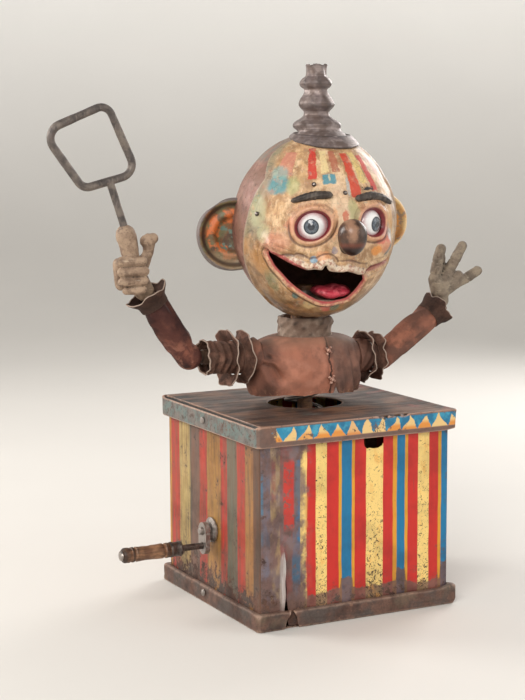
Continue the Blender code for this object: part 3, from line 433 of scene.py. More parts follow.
def stage():
    """A pale round bowl of a floor, whose sides glow softly, four soft lights and the camera."""
    floor_paint = Paint("floor", roughness=0.75)
    cloud = floor_paint.noise(300, detail=2)
    colour = floor_paint.mix(cloud, tone(214, 211, 206), tone(222, 219, 214))
    floor_paint.finish(colour)
    floor_paint.feed(floor_paint.shader.inputs["Emission Color"], colour)
    glow = floor_paint.ramp(floor_paint.z, 0, BOWL_HEIGHT * 0.3) * BOWL_GLOW
    floor_paint.feed(floor_paint.shader.inputs["Emission Strength"], glow)
    mesh = bpy.data.meshes.new("floor")
    curve = BOWL_RADIUS - BOWL_START
    profile = [(0.001, 0.0), (BOWL_START * 0.5, 0.0), (BOWL_START, 0.0)]
    for k in range(1, 17):
        a = math.radians(90 * k / 16)
        profile.append((BOWL_START + curve * math.sin(a), curve - curve * math.cos(a)))
    profile.append((BOWL_RADIUS, BOWL_HEIGHT))
    points, faces = turned(profile, 96)
    mesh.from_pydata([Vector(p) * MM for p in points], [], [f[::-1] for f in faces])
    mesh.shade_smooth()
    mesh.materials.append(floor_paint.material)
    floor = bpy.data.objects.new("floor", mesh)
    bpy.context.scene.collection.objects.link(floor)

    lights = (   # name, place, size, watts, colour
        ("key", (-900, -900, 900), 0.7, 13.0, (1.0, 0.97, 0.93)),
        ("fill", (1000, -900, 500), 1.0, 3.5, (0.93, 0.96, 1.0)),
        ("rim_left", (-800, 700, 650), 0.5, 8.0, (1.0, 0.95, 0.9)),
        ("rim_right", (900, 500, 600), 0.5, 6.0, (1.0, 0.97, 0.95)),
    )
    for name, place, size, watts, colour in lights:
        lamp = bpy.data.lights.new(name, "AREA")
        lamp.size = size
        lamp.energy = watts
        lamp.color = colour
        made = bpy.data.objects.new(name, lamp)
        made.location = Vector(place) * MM
        made.rotation_euler = (Vector((0, 0, 180)) - Vector(place)).to_track_quat("-Z", "Y").to_euler()
        made.visible_camera = False
        bpy.context.scene.collection.objects.link(made)
    world = bpy.data.worlds.new("studio")
    world.use_nodes = True
    world.node_tree.nodes["Background"].inputs["Color"].default_value = (0.85, 0.87, 0.9, 1)
    world.node_tree.nodes["Background"].inputs["Strength"].default_value = 0.28
    bpy.context.scene.world = world
    bpy.context.scene.view_settings.view_transform = "Standard"

    data = bpy.data.cameras.new("camera")
    data.sensor_width = 36.0
    data.lens = LENS
    data.clip_end = 20.0
    camera = bpy.data.objects.new("camera", data)
    turn = Matrix.Rotation(math.radians(CAMERA_TURN), 4, "Z")
    tilt = Matrix.Rotation(math.radians(90 - CAMERA_DROP), 4, "X")
    roll = Matrix.Rotation(math.radians(CAMERA_ROLL), 4, "Z")
    camera.matrix_world = Matrix.Translation(Vector(CAMERA_AT) * MM) @ turn @ tilt @ roll
    bpy.context.scene.collection.objects.link(camera)
    bpy.context.scene.camera = camera


# ------------------------------------------------------------------ case

CASE_HALF = cad_range("box_body", 0)[1]
CAP_HALF = cad_range("cap", 0)[1]
CAP_LOW, CAP_TOP = cad_range("cap", 2)
RIM_HALF = cad_range("base_pan", 0)[1]
RIM_TOP = cad_range("base_pan", 2)[1]
CASE_LOW, CASE_HIGH = cad_range("box_body", 2)
HOLE_R = 25.0
TIN = 0.8
FRONT_STEPS, SIDE_STEPS, CORNER_STEPS = 128, 56, 5

RED = tone(194, 34, 24)
CREAM = tone(238, 204, 124)
YELLOW = tone(214, 150, 38)
BLUE = tone(6, 112, 158)
# Where each stripe of the front wall ends, along x, and its colour.
FRONT_STRIPES = [
    (-63, BLUE), (-56, CREAM), (-47, RED), (-41.5, BLUE), (-36.8, CREAM), (-30.3, RED), (-22.2, CREAM),
    (-13.4, RED), (-11.2, YELLOW), (-3.8, BLUE), (-1.6, YELLOW), (6.7, RED), (19.5, CREAM), (27.1, RED),
    (30.2, YELLOW), (36.3, BLUE), (38.6, YELLOW), (46.4, RED), (54.9, CREAM), (62, RED), (64.4, YELLOW),
    (70, BLUE),
]
# Smudges of paint left on the faded part of the front: ends along x and z, colour and strength.
SMUDGES = [
    (-53.5, -46.0, 64, 107, tone(196, 48, 36), 0.9), (-71.0, -68.0, 72, 101, tone(56, 112, 140), 0.7),
    (-70.5, -68.0, 55, 64, tone(70, 108, 130), 0.5), (-47.5, -41.5, 30, 46, tone(40, 98, 128), 0.65),
    (-44.5, -41.5, 82, 104, tone(96, 104, 112), 0.7), (-37.5, -33.0, 24, 66, tone(188, 54, 42), 0.7),
    (-62.0, -59.0, 84, 108, tone(150, 66, 60), 0.4), (-38.0, -36.0, 60, 84, tone(196, 150, 80), 0.6),
]
# Where each stripe of a side wall ends, along y, and its colour.
SIDE_STRIPES = [
    (-60, tone(70, 52, 40)), (-48.5, tone(172, 122, 60)), (-37, RED), (-22, tone(92, 104, 88)), (-12, RED),
    (8, tone(188, 138, 62)), (20, RED), (32, tone(110, 84, 74)), (35, tone(84, 88, 80)),
    (52, tone(200, 176, 110)), (65, RED), (72, YELLOW),
]


def stripes(paint, along, table):
    colour = table[0][1]
    for (edge, _), (_, follow) in zip(table, table[1:]):
        colour = paint.mix(paint.ramp(along, edge - 0.18, edge + 0.18), colour, follow)
    return colour


def rust_colour(paint, seed=0):
    """Old bare tin: brown rust over grey, in clouds, streaks and specks."""
    base = paint.blotch([tone(92, 62, 50), tone(64, 44, 38), tone(112, 80, 66), tone(86, 74, 68)], 14, seed=seed)
    fine = paint.noise(1.6, detail=6, roughness=0.7, seed=seed + 2)
    base = paint.mix(paint.ramp(fine, 0.3, 0.75) * 0.6, base, tone(48, 34, 30))
    pale = paint.noise(5, detail=6, roughness=0.65, seed=seed + 5)
    return paint.mix(paint.ramp(pale, 0.60, 0.72) * 0.55, base, tone(150, 112, 90))


def striped_tin():
    p = Paint("striped_tin", roughness=0.4)
    wave = (p.noise(22, detail=3, seed=1) - 0.5) * 1.0
    on_front = p.ramp(abs(p.y) - abs(p.x), -0.2, 0.2)
    front = stripes(p, p.x + wave, FRONT_STRIPES)
    side = stripes(p, p.y + wave, SIDE_STRIPES)
    is_cream = (p.band(p.x, 6.7, 19.5) + p.band(p.x, 46.4, 54.9) + p.band(p.x, -30.3, -22.2)) * on_front
    streaks = p.noise(3.2, detail=6, roughness=0.7, stretch=(1, 1, 14), seed=3)
    grime = p.noise(26, detail=6, roughness=0.6, seed=4)
    rust = rust_colour(p)

    # The side walls are dulled by brown varnish, streaked from top to bottom.
    varnish = p.blotch([tone(112, 70, 44), tone(86, 62, 46)], 9, seed=6, stretch=(1, 1, 5))
    side = p.mix(0.30 + 0.45 * p.ramp(streaks, 0.35, 0.65), side, varnish)
    colour = p.mix(on_front, side, front)

    # Wear: chips anywhere, bare tin low down, at the corners and over the front's left part.
    chips = p.noise(3.4, detail=8, roughness=0.72, distortion=0.4, seed=8)
    patches = p.noise(11, detail=6, roughness=0.6, seed=9)
    low_down = p.ramp(p.z, 42, 8)
    under_cap = p.ramp(p.z, 106, 119) * 0.25
    corner = p.ramp(abs(abs(p.x) - abs(p.y)) * on_front, 9.0, 1.5) * 0.4
    left_part = p.ramp(p.x + (patches - 0.5) * 30, -35, -42) * on_front
    level = 0.705 - 0.15 * low_down - under_cap * 0.12 - corner * 0.22 - 0.05 * left_part
    worn = p.ramp(chips * 0.55 + patches * 0.45, level - 0.012, level + 0.012)
    specks = p.noise(2.3, detail=6, roughness=0.75, distortion=1.2, seed=12)
    speck_level = 0.575 + 0.03 * p.ramp(p.z, 50, 100) - 0.05 * low_down
    pitted = p.ramp(specks, speck_level - 0.012, speck_level + 0.012) * is_cream
    scratch = p.noise(1.1, detail=4, roughness=0.6, stretch=(1, 1, 30), seed=14)
    scratched = p.ramp(scratch, 0.70, 0.74) * 0.55
    bare = p.math("MAXIMUM", worn, p.math("MAXIMUM", pitted, scratched))

    # The front's left part is faded to a purplish grey with smudges of its stripes left.
    smudge = p.noise(9, detail=5, roughness=0.62, stretch=(1, 1, 2.2), seed=17)
    faded = left_part * (0.80 + 0.2 * p.ramp(smudge, 0.60, 0.44))
    colour = p.mix(faded, colour, p.blotch([tone(112, 84, 78), tone(94, 70, 64), tone(118, 98, 98)], 10, seed=18))
    drift = (smudge - 0.5) * 7
    for x0, x1, z0, z1, paint, strength in SMUDGES:
        where = p.band(p.x + drift * 0.3, x0, x1, 0.7) * p.band(p.z + drift, z0, z1, 3.0) * on_front
        colour = p.mix(where * p.ramp(chips, 0.60, 0.52) * strength, colour, paint)

    # Rubbed paint, thin enough for the metal to show through, round each worn place.
    thin = p.ramp(chips * 0.55 + patches * 0.45, level - 0.10, level) * 0.45
    colour = p.mix(thin, colour, rust)
    # The paint stops short of the base, sooner on the blue stripes than on the others.
    is_blue = p.band(p.x, -12, -3, 0.5) + p.band(p.x, 30, 37, 0.5) + p.band(p.x, 64, 71, 0.5)
    paint_end = 19.0 + 9.0 * is_blue + (patches - 0.5) * 16 + (chips - 0.5) * 6
    ended = p.ramp(p.z - paint_end, 0.8, -0.8) * on_front
    colour = p.mix(ended * 0.85, colour, p.blotch([tone(104, 72, 62), tone(84, 58, 50), tone(120, 88, 76)], 9, seed=19))
    # Cream gone orange in places.
    aged = is_cream * p.ramp(p.noise(8, detail=5, roughness=0.62, stretch=(1, 1, 2), seed=7), 0.54, 0.66)
    colour = p.mix(aged * 0.5, colour, tone(226, 158, 66))
    colour = p.dim(colour, p.ramp(grime, 0.42, 0.7) * 0.28 + p.ramp(streaks, 0.5, 0.8) * 0.18)
    colour = p.mix(bare, colour, rust)
    colour = p.mix(pitted * 0.75, colour, tone(52, 42, 34))

    # The bright bare edge of the torn tin beside the slit.
    torn = p.band(p.x, -57.5, -52.0, 0.8) * p.ramp(p.z, 54, 46) * p.ramp(p.z, 8, 22) * p.ramp(p.y, -70.3, -71.0)
    colour = p.mix(torn * (0.4 + 0.5 * p.ramp(streaks, 0.6, 0.4)), colour, tone(186, 180, 176))
    roughness = 0.36 + 0.38 * bare + 0.18 * p.ramp(grime, 0.4, 0.7) + 0.12 * (1.0 - on_front)
    height = (0.05 * (1.0 - bare) + 0.10 * p.noise(2.0, detail=6, roughness=0.7, seed=15) * bare
              + 0.05 * p.noise(0.8, detail=3, seed=16))
    return p.finish(colour, roughness=roughness, height=height)


def rusted_tin(name="rusted_tin", seed=20):
    """The lid's top and the base pan: dull brown with greenish streaks and lighter rubbed edges."""
    p = Paint(name, roughness=0.6)
    colour = rust_colour(p, seed)
    streaks = p.noise(4.5, detail=6, roughness=0.65, stretch=(9, 1, 1), seed=seed + 4)
    colour = p.mix(p.ramp(streaks, 0.5, 0.68) * 0.6, colour, tone(52, 40, 32))
    green = p.noise(19, detail=5, seed=seed + 7)
    colour = p.mix(p.ramp(green, 0.56, 0.68) * 0.35, colour, tone(104, 96, 78))
    rub = p.pointiness(0.515, 0.56) * p.ramp(p.noise(3.0, detail=6, roughness=0.7, seed=seed + 8), 0.32, 0.55)
    colour = p.mix(rub * 0.7, colour, tone(170, 140, 122))
    roughness = 0.5 + 0.25 * p.ramp(green, 0.35, 0.65) - 0.12 * rub
    height = (0.16 * p.noise(2.4, detail=7, roughness=0.7, seed=seed + 9) + 0.06 * streaks)
    return p.finish(colour, roughness=roughness, height=height)


BUNTING_STEP = 10.9
GAP_X = -CAP_HALF + 3.0          # the gap beside the lid's folded left edge, which is painted near-black as shade


def bunting_tin():
    """The lid: a painted row of pennants along the front of its skirt, grey-blue wear on the sides, rust on top."""
    p = Paint("bunting_tin", roughness=0.55)
    rust = rust_colour(p, 31)
    on_skirt = p.ramp(p.z, CAP_TOP - 1.0, CAP_TOP - 1.8)
    on_front = p.ramp(p.y, -CAP_HALF + 2.5, -CAP_HALF + 1.5)
    lift = (p.z - (CAP_LOW + 3.4)) / (CAP_TOP - CAP_LOW - 3.6)
    slant = (p.noise(30, detail=1, seed=32) - 0.5) * (lift - 0.5) * 1.6
    count = p.x / BUNTING_STEP + 0.9 * (p.noise(14, detail=1, seed=33) - 0.5) + slant
    cell = p.math("FLOOR", count)
    share = count - cell
    pick = p.per_cell(cell, 3)
    tooth = (1.0 - abs(share * 2.0 - 1.0)) * (0.72 + 0.38 * p.per_cell(cell, 5))
    ragged = (p.noise(2.2, detail=5, roughness=0.65, seed=34) - 0.5) * 0.42
    pennant = p.ramp(tooth - lift - 0.04 + ragged, -0.06, 0.06)
    pennant_colour = p.mix(p.ramp(lift + (pick - 0.5) * 0.6, 0.5, 0.2) * p.ramp(pick, 0.25, 0.4), tone(222, 188, 126),
                           tone(214, 138, 58))
    pennant_colour = p.mix(p.ramp(pick, 0.80, 0.84), pennant_colour, tone(196, 116, 84))
    sky = p.blotch([tone(34, 128, 164), tone(62, 150, 178), tone(26, 104, 140)], 6, seed=35)
    painted = p.mix(pennant, sky, pennant_colour)
    painted = p.mix(p.ramp(lift, 0.06, -0.04), painted, tone(170, 116, 84))
    chips = p.noise(3.0, detail=8, roughness=0.72, distortion=0.5, seed=36)
    patch = p.noise(12, detail=5, seed=37)
    level = 0.585 - 0.25 * p.ramp(p.x, -57, -66) - 0.05 * p.ramp(p.x, 66, 74)
    worn = p.ramp(chips * 0.6 + patch * 0.4, level - 0.02, level + 0.02)
    hem = p.ramp(p.z, CAP_LOW + 3.6, CAP_LOW + 2.6)
    side_paint = p.blotch([tone(112, 104, 98), tone(92, 88, 84), tone(96, 112, 108)], 8, seed=38)
    side_paint = p.mix(p.ramp(chips, 0.52, 0.60), side_paint, rust)
    skirt = p.mix(on_front * (1.0 - hem) * (1.0 - worn), side_paint, painted)
    skirt = p.mix(on_front * p.math("MAXIMUM", worn, hem), skirt, p.mix(0.4, rust, tone(126, 100, 90)))
    streaks = p.noise(5.5, detail=6, roughness=0.62, stretch=(8, 1, 1), seed=41)
    top = p.mix(p.ramp(streaks, 0.42, 0.62) * 0.75, rust, tone(50, 38, 31))
    warm = p.noise(24, detail=4, seed=42)
    top = p.mix(p.ramp(warm, 0.42, 0.62) * 0.6, top, tone(132, 94, 70))
    long_dark = p.ramp(p.noise(11, detail=5, roughness=0.6, stretch=(5, 1, 1), seed=45), 0.54, 0.66)
    top = p.mix(long_dark * 0.75, top, tone(40, 28, 22))
    top = p.mix(p.ramp(p.noise(15, detail=4, seed=46), 0.55, 0.68) * p.ramp(p.x, 20, 60) * 0.5, top, tone(150, 76, 66))
    shadow = p.ramp(p.x - (chips - 0.5) * 20, GAP_X + 16, GAP_X + 9) * p.ramp(long_dark, 0.2, 0.6)
    top = p.mix(shadow * 0.9, top, tone(24, 17, 14))
    colour = p.mix(on_skirt, top, skirt)
    # Painted shadow: a near-black line in the gap beside the folded left edge.
    gap = p.band(p.x, GAP_X - 1.4, GAP_X + 0.35, 0.25) * p.band(p.y, -71, 71, 1.0) * p.ramp(p.z, CAP_LOW + 4, CAP_LOW + 5)
    colour = p.mix(gap * 0.97, colour, tone(14, 10, 8))
    # Painted shade: near-black notches along the torn part of the front edge.
    torn = p.band(p.x, 14, 37, 1.5) * on_front * p.ramp(p.z - CAP_TOP + 1.5 + (chips - 0.5) * 7, -0.3, 0.3)
    colour = p.mix(torn * 0.9, colour, tone(22, 15, 12))
    rub = p.pointiness(0.515, 0.56) * p.ramp(p.noise(2.5, detail=6, roughness=0.7, seed=43), 0.3, 0.5)
    colour = p.mix(rub * 0.75, colour, tone(186, 150, 130))
    roughness = 0.48 + 0.2 * p.ramp(streaks, 0.4, 0.7)
    height = 0.14 * p.noise(2.4, detail=7, roughness=0.7, seed=44) * (1.0 - on_skirt * 0.6) + 0.04 * (1.0 - worn)
    return p.finish(colour, roughness=roughness, height=height)


def square_path(half, radius):
    """Points round a square with rounded corners, counter-clockwise from the front's left end, the front finely stepped."""
    flat = half - radius
    sides = [((-flat, -half), (flat, -half), FRONT_STEPS, -90), ((half, -flat), (half, flat), SIDE_STEPS, 0),
             ((flat, half), (-flat, half), SIDE_STEPS, 90), ((-half, flat), (-half, -flat), SIDE_STEPS, 180)]
    path = []
    for start, end, steps, facing in sides:
        for k in range(steps):
            share = k / steps
            path.append([start[i] + (end[i] - start[i]) * share for i in (0, 1)])
        corner = [end[i] + radius * (-math.cos(math.radians(facing)), -math.sin(math.radians(facing)))[i]
                  for i in (0, 1)]
        for k in range(CORNER_STEPS):
            a = math.radians(facing + 90 * k / CORNER_STEPS)
            path.append([corner[0] + radius * math.cos(a), corner[1] + radius * math.sin(a)])
    return np.array(path)


def ring(half, z, radius=2.0):
    path = square_path(half, radius)
    return np.column_stack([path, np.full(len(path), float(z))])


def case_walls(finish):
    heights = np.linspace(CASE_LOW, CASE_HIGH, 82)
    points = np.array([ring(CASE_HALF, z) for z in heights])
    x, y, z = points[..., 0], points[..., 1], points[..., 2]
    outward = np.stack([np.where(np.abs(x) > CASE_HALF - 1, np.sign(x), 0),
                        np.where(np.abs(y) > CASE_HALF - 1, np.sign(y), 0), np.zeros_like(x)], -1)
    middle = np.clip(1 - (np.minimum(np.abs(x), np.abs(y)) / CASE_HALF) ** 4, 0, 1)
    middle *= np.sin(np.pi * np.clip((z - CASE_LOW) / (CASE_HIGH - CASE_LOW), 0, 1)) ** 0.5
    dents = (rough(points, 34, 1) * 0.55 + rough(points, 13, 2) * 0.22).reshape(x.shape) - 0.25
    points += outward * (dents * middle)[..., None]
    # Tin bent outwards on the left of the slit, and a little inwards on its right.
    on_front = y < -CASE_HALF + 1
    low_part = smooth_step(z, 56, 40)* smooth_step(z, -5, 14)
    lip = smooth_step(x, -58.5, -53.2) * (x < -52.9) * low_part * on_front
    points[..., 1] -= 2.6 * lip
    points[..., 1] += 0.6 * smooth_step(x, -47, -52) * (x > -52.9) * low_part * on_front
    faces = [list(f) for f in grid(len(heights), points.shape[1], close_columns=True)]
    walls = piece("case_walls", points, faces, finish, "case", ["box_body"])
    thicken(walls, TIN)
    slit = [(-54.6, 0), (-49.9, 0), (-50.9, 6), (-50.2, 12), (-51.4, 19), (-51.0, 25), (-52.0, 33), (-51.9, 40),
            (-52.5, 48), (-52.7, 53.5), (-53.2, 47), (-53.0, 39), (-53.7, 30), (-53.3, 22), (-54.3, 13),
            (-53.9, 7)]
    notch = [(5.2, 122), (5.0, 114), (5.8, 111.6), (7.6, 110.4), (9.5, 110.8), (12, 110.1), (16, 110.3),
             (18.6, 111.4), (19.9, 113.4), (19.6, 122)]
    cut(walls, prism(slit, -80, -60), prism(notch, -80, -60), bush_hole())
    return walls


def bush_hole():
    _, _, z = (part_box("crank_bush")[0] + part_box("crank_bush")[1]) / (2 * MM)
    radius = 4.3
    points, faces = turned([(0, 60), (radius, 60), (radius, 80), (0, 80)], 24, (0, 0, z), (-1, 0, 0))
    return points, faces


def base_pan(finish):
    ledge = CASE_HALF + 0.5
    top = RIM_TOP
    profile = [(20, 0.0, 2), (RIM_HALF * 0.75, 0.0, 2), (RIM_HALF - 1.4, 0.0, 2.4), (RIM_HALF - 0.4, 0.5, 2.4),
               (RIM_HALF - 0.1, 1.4, 2.4)]
    profile += [(RIM_HALF, z, 2.4) for z in np.linspace(2.4, top - 1.8, 7)]
    profile += [(RIM_HALF - 0.3, top - 0.7, 2.4), (RIM_HALF - 1.1, top - 0.1, 2.4), (RIM_HALF - 2.0, top, 2.4),
                (ledge + 0.9, top - 0.2, 2.2), (ledge, top - 0.9, 2.2)]
    points = np.array([ring(half, z, radius) for half, z, radius in profile])
    x, y, z = points[..., 0], points[..., 1], points[..., 2]
    away = points[..., :2] / np.maximum(np.max(np.abs(points[..., :2]), -1), 1)[..., None]
    outer = smooth_step(np.maximum(np.abs(x), np.abs(y)), CASE_HALF + 0.6, RIM_HALF - 0.8)
    dents = (rough(points, 16, 5) * 0.55 + rough(points, 6, 6) * 0.22).reshape(x.shape) - 0.2
    lift = smooth_step(z, 0.8, 4)
    points[..., :2] += away * (dents * outer * lift)[..., None]
    # The front right corner is bent up and outwards, and the rim sags to the left of it.
    corner = np.exp(-((x - 72) ** 2 + (y + 72) ** 2) / 60.0) * lift
    points[..., 0] += 1.0 * corner * outer
    points[..., 2] += 1.8 * corner * smooth_step(z, 3, top)
    points[..., 2] -= 0.5 * outer * smooth_step(z, 8, top) * (rough(points, 22, 7).reshape(x.shape) + 0.5)
    faces = [list(f) for f in grid(len(profile), points.shape[1], close_columns=True)]
    pan = piece("base_pan_tin", points, faces, finish, "case", ["base_pan"])
    thicken(pan, TIN, -1.0)
    wedge = [(-56.0, -2), (-43.0, -2), (-45.2, 2.8), (-46.0, 7.5), (-47.8, 10.2), (-48.3, 13.5), (-49.2, 13.5),
             (-51.0, 9.5), (-53.2, 6.8), (-54.3, 3.0)]
    cut(pan, prism(wedge, -80, -71.2))
    return pan


def cap_tin(finish):
    """The lid: its hole's rolled edge, the flat top, a folded edge and the skirt with a rolled hem."""
    edge = CAP_HALF
    path = square_path(edge, 2.2)
    angle = np.arctan2(path[:, 1], path[:, 0])
    hole = np.column_stack([HOLE_R * np.cos(angle), HOLE_R * np.sin(angle)])
    rows = []
    for height, reach in ((-1.6, 0.6), (-0.5, 0.1), (-0.05, 0.9)):
        rows.append(np.column_stack([hole * (1 + reach / HOLE_R), np.full(len(hole), CAP_TOP + height)]))
    for share in np.append(np.linspace(0.04, 0.89, 26), np.linspace(0.905, 0.99, 18)):
        flat = hole * (1 - share) + square_path(edge - 1.6, 2.0) * share
        rows.append(np.column_stack([flat, np.full(len(flat), CAP_TOP - 0.05)]))
    for half, z in ((edge - 1.0, CAP_TOP), (edge - 0.35, CAP_TOP - 0.25), (edge, CAP_TOP - 0.9)):
        rows.append(ring(half, z, 2.2))
    for z in np.linspace(CAP_TOP - 1.8, CAP_LOW + 1.2, 10):
        rows.append(ring(edge, z, 2.2))
    for half, z in ((edge, CAP_LOW + 0.5), (edge - 0.35, CAP_LOW + 0.05), (edge - 1.0, CAP_LOW), (edge - 1.5, CAP_LOW + 0.5)):
        rows.append(ring(half, z, 2.2))
    points = np.array(rows)
    x, y, z = points[..., 0], points[..., 1], points[..., 2]
    reach = np.hypot(x, y)
    on_top = (z > CAP_TOP - 0.3)
    inner = smooth_step(reach, HOLE_R + 1, HOLE_R + 14) * smooth_step(np.maximum(np.abs(x), np.abs(y)), edge - 1, edge - 9)
    sag = (rough(points, 38, 11) * 0.6 + rough(points, 14, 12) * 0.28).reshape(x.shape) - 0.35
    points[..., 2] += sag * inner * on_top
    # The folded left edge stands up, with a gap beside it; part of the front edge is torn.
    along = smooth_step(np.abs(y), edge - 1, edge - 5)
    upper_part = smooth_step(z, CAP_TOP - 4.5, CAP_TOP - 0.5)
    points[..., 2] -= upper_part * along * (1.5 * smooth_step(x, GAP_X + 0.6, GAP_X) + 1.6 * bump(x, GAP_X - 0.5, 0.8))
    torn = smooth_step(x, 12, 17) * smooth_step(x, 39, 34) * smooth_step(y, -edge + 2.6, -edge + 1.4)
    points[..., 2] -= torn * smooth_step(z, CAP_TOP - 3, CAP_TOP - 1.5) * np.clip(
        0.9 + 1.8 * rough(points, 2.4, 15).reshape(x.shape), 0.0, 2.2)
    # A hammered lump in front of the hole, and the dip beside it.
    points[..., 2] += on_top * (1.0 * np.exp(-((x - 6) ** 2 / 60 + (y + 33) ** 2 / 14)) - 0.8 * np.exp(-((x + 14) ** 2 / 200 + (y + 40) ** 2 / 90)))
    skirt = smooth_step(z, CAP_TOP - 0.4, CAP_TOP - 3)
    away = points[..., :2] / np.maximum(np.max(np.abs(points[..., :2]), -1), 1)[..., None]
    wave = (rough(points, 20, 13) * 0.45 + rough(points, 7, 14) * 0.2).reshape(x.shape) - 0.15
    points[..., :2] += away * (wave * skirt)[..., None]
    # The front right corner is bent outwards.
    corner = np.exp(-((x - 74) ** 2 + (y + 74) ** 2) / 40.0)
    points[..., 0] += 1.0 * corner * smooth_step(z, CAP_LOW - 2, CAP_TOP)
    points[..., 2] += 0.9 * corner * skirt
    faces = [list(f) for f in grid(len(points), points.shape[1], close_columns=True)]
    lid = piece("cap_tin", points, [f[::-1] for f in faces], finish, "case", ["cap"])
    thicken(lid, TIN, -1.0)
    return lid


# ------------------------------------------------------------------ head

HEAD = np.array((0.0, -11.8, 251.6))
HEAD_R = np.array((54.2, 54.2, 60.5))
HEAD_YAW = math.radians(-8.5)
SEAM = ((-70.0, 5.0), (0.0, -15.5), (31.0, -23.0), (46.0, -13.0), (70.0, -9.0))     # height and depth of the mask's back edge
MASK_WALL = 1.6
# Azimuth round from the face and elevation, in degrees.
UPPER_LIP = [(-53.5, -15), (-43, -20), (-37, -23), (-31, -25.5), (-25.5, -27.5), (-19.5, -27), (-14, -27.5),
             (-11.5, -24.5), (-8, -28.5), (-0.5, -29.5), (6.5, -29.5), (14, -31.5), (21.5, -32.5)]
LOWER_LIP = [(23, -35), (23.5, -40.5), (20.5, -48), (16, -53), (5.5, -54.5), (-4, -55.5), (-14, -54), (-23, -49.5),
             (-33, -43), (-39.5, -37), (-44, -31.5), (-49, -25.5), (-51.5, -20.5)]
EYES = {"right": (-20.8, 2.6), "left": (23.6, 3.9)}
EYE_HALF = {"right": (10.4, 8.2), "left": (9.8, 7.9)}     # the lids' opening, along and across its tilted length
EYE_TILT = {"right": 24.0, "left": -20.0}
EYE_R = 11.0
EYE_SINK = 7.8


def head_place(local):
    """Points in the head's own frame, which faces -Y, as they stand in the row frame."""
    local = np.asarray(local, float)
    c, s = math.cos(HEAD_YAW), math.sin(HEAD_YAW)
    turned_x = local[..., 0] * c - local[..., 1] * s
    turned_y = local[..., 0] * s + local[..., 1] * c
    return np.stack([turned_x, turned_y, local[..., 2]], -1) + HEAD


def head_ray(azimuth, elevation):
    a, e = np.radians(azimuth), np.radians(elevation)
    return np.stack([np.sin(a) * np.cos(e), -np.cos(a) * np.cos(e), np.sin(e) * np.ones_like(a)], -1)


def on_head(azimuth, elevation, lift=0.0):
    """Points on the head's ellipsoid, raised along their rays."""
    ray = head_ray(np.asarray(azimuth, float), np.asarray(elevation, float))
    reach = 1 / np.sqrt(((ray / HEAD_R) ** 2).sum(-1))
    return ray * (reach + lift)[..., None]


def unrolled(azimuth, elevation):
    """Places on the face in millimetres on a flat map."""
    e = np.radians(elevation)
    return np.stack([55.0 * np.radians(azimuth) * np.cos(e), 57.0 * e], -1)


def rolled(flat):
    e = flat[..., 1] / 57.0
    return np.degrees(flat[..., 0] / (55.0 * np.cos(e))), np.degrees(e)


def from_outline(places, outline, closed=True):
    """Distance to an outline, negative inside it, and the nearest point on it."""
    ends = np.roll(outline, -1, 0) if closed else outline[1:]
    starts = outline if closed else outline[:-1]
    best = np.full(len(places), 1e9)
    nearest = np.zeros_like(places)
    inside = np.zeros(len(places), bool)
    for a, b in zip(starts, ends):
        run = b - a
        t = np.clip(((places - a) @ run) / max(run @ run, 1e-9), 0, 1)
        on = a + t[:, None] * run
        away = np.linalg.norm(places - on, axis=1)
        closer = away < best
        best[closer] = away[closer]
        nearest[closer] = on[closer]
        crosses = (a[1] > places[:, 1]) != (b[1] > places[:, 1])
        with np.errstate(divide="ignore", invalid="ignore"):
            at = a[0] + (places[:, 1] - a[1]) * run[0] / run[1]
        inside ^= crosses & (places[:, 0] < at)
    return np.where(inside, -best, best) if closed else best, nearest


def mouth_outline():
    points = np.array(UPPER_LIP + LOWER_LIP)
    return rounded(unrolled(points[:, 0], points[:, 1]), steps=5)


def eye_outline(side):
    centre = unrolled(*np.array(EYES[side]))
    angle = np.arange(56) * math.tau / 56
    long, short = EYE_HALF[side]
    tilt = math.radians(EYE_TILT[side])
    u, v = long * np.cos(angle), short * np.sin(angle)
    return centre + np.column_stack([u * math.cos(tilt) - v * math.sin(tilt), u * math.sin(tilt) + v * math.cos(tilt)])


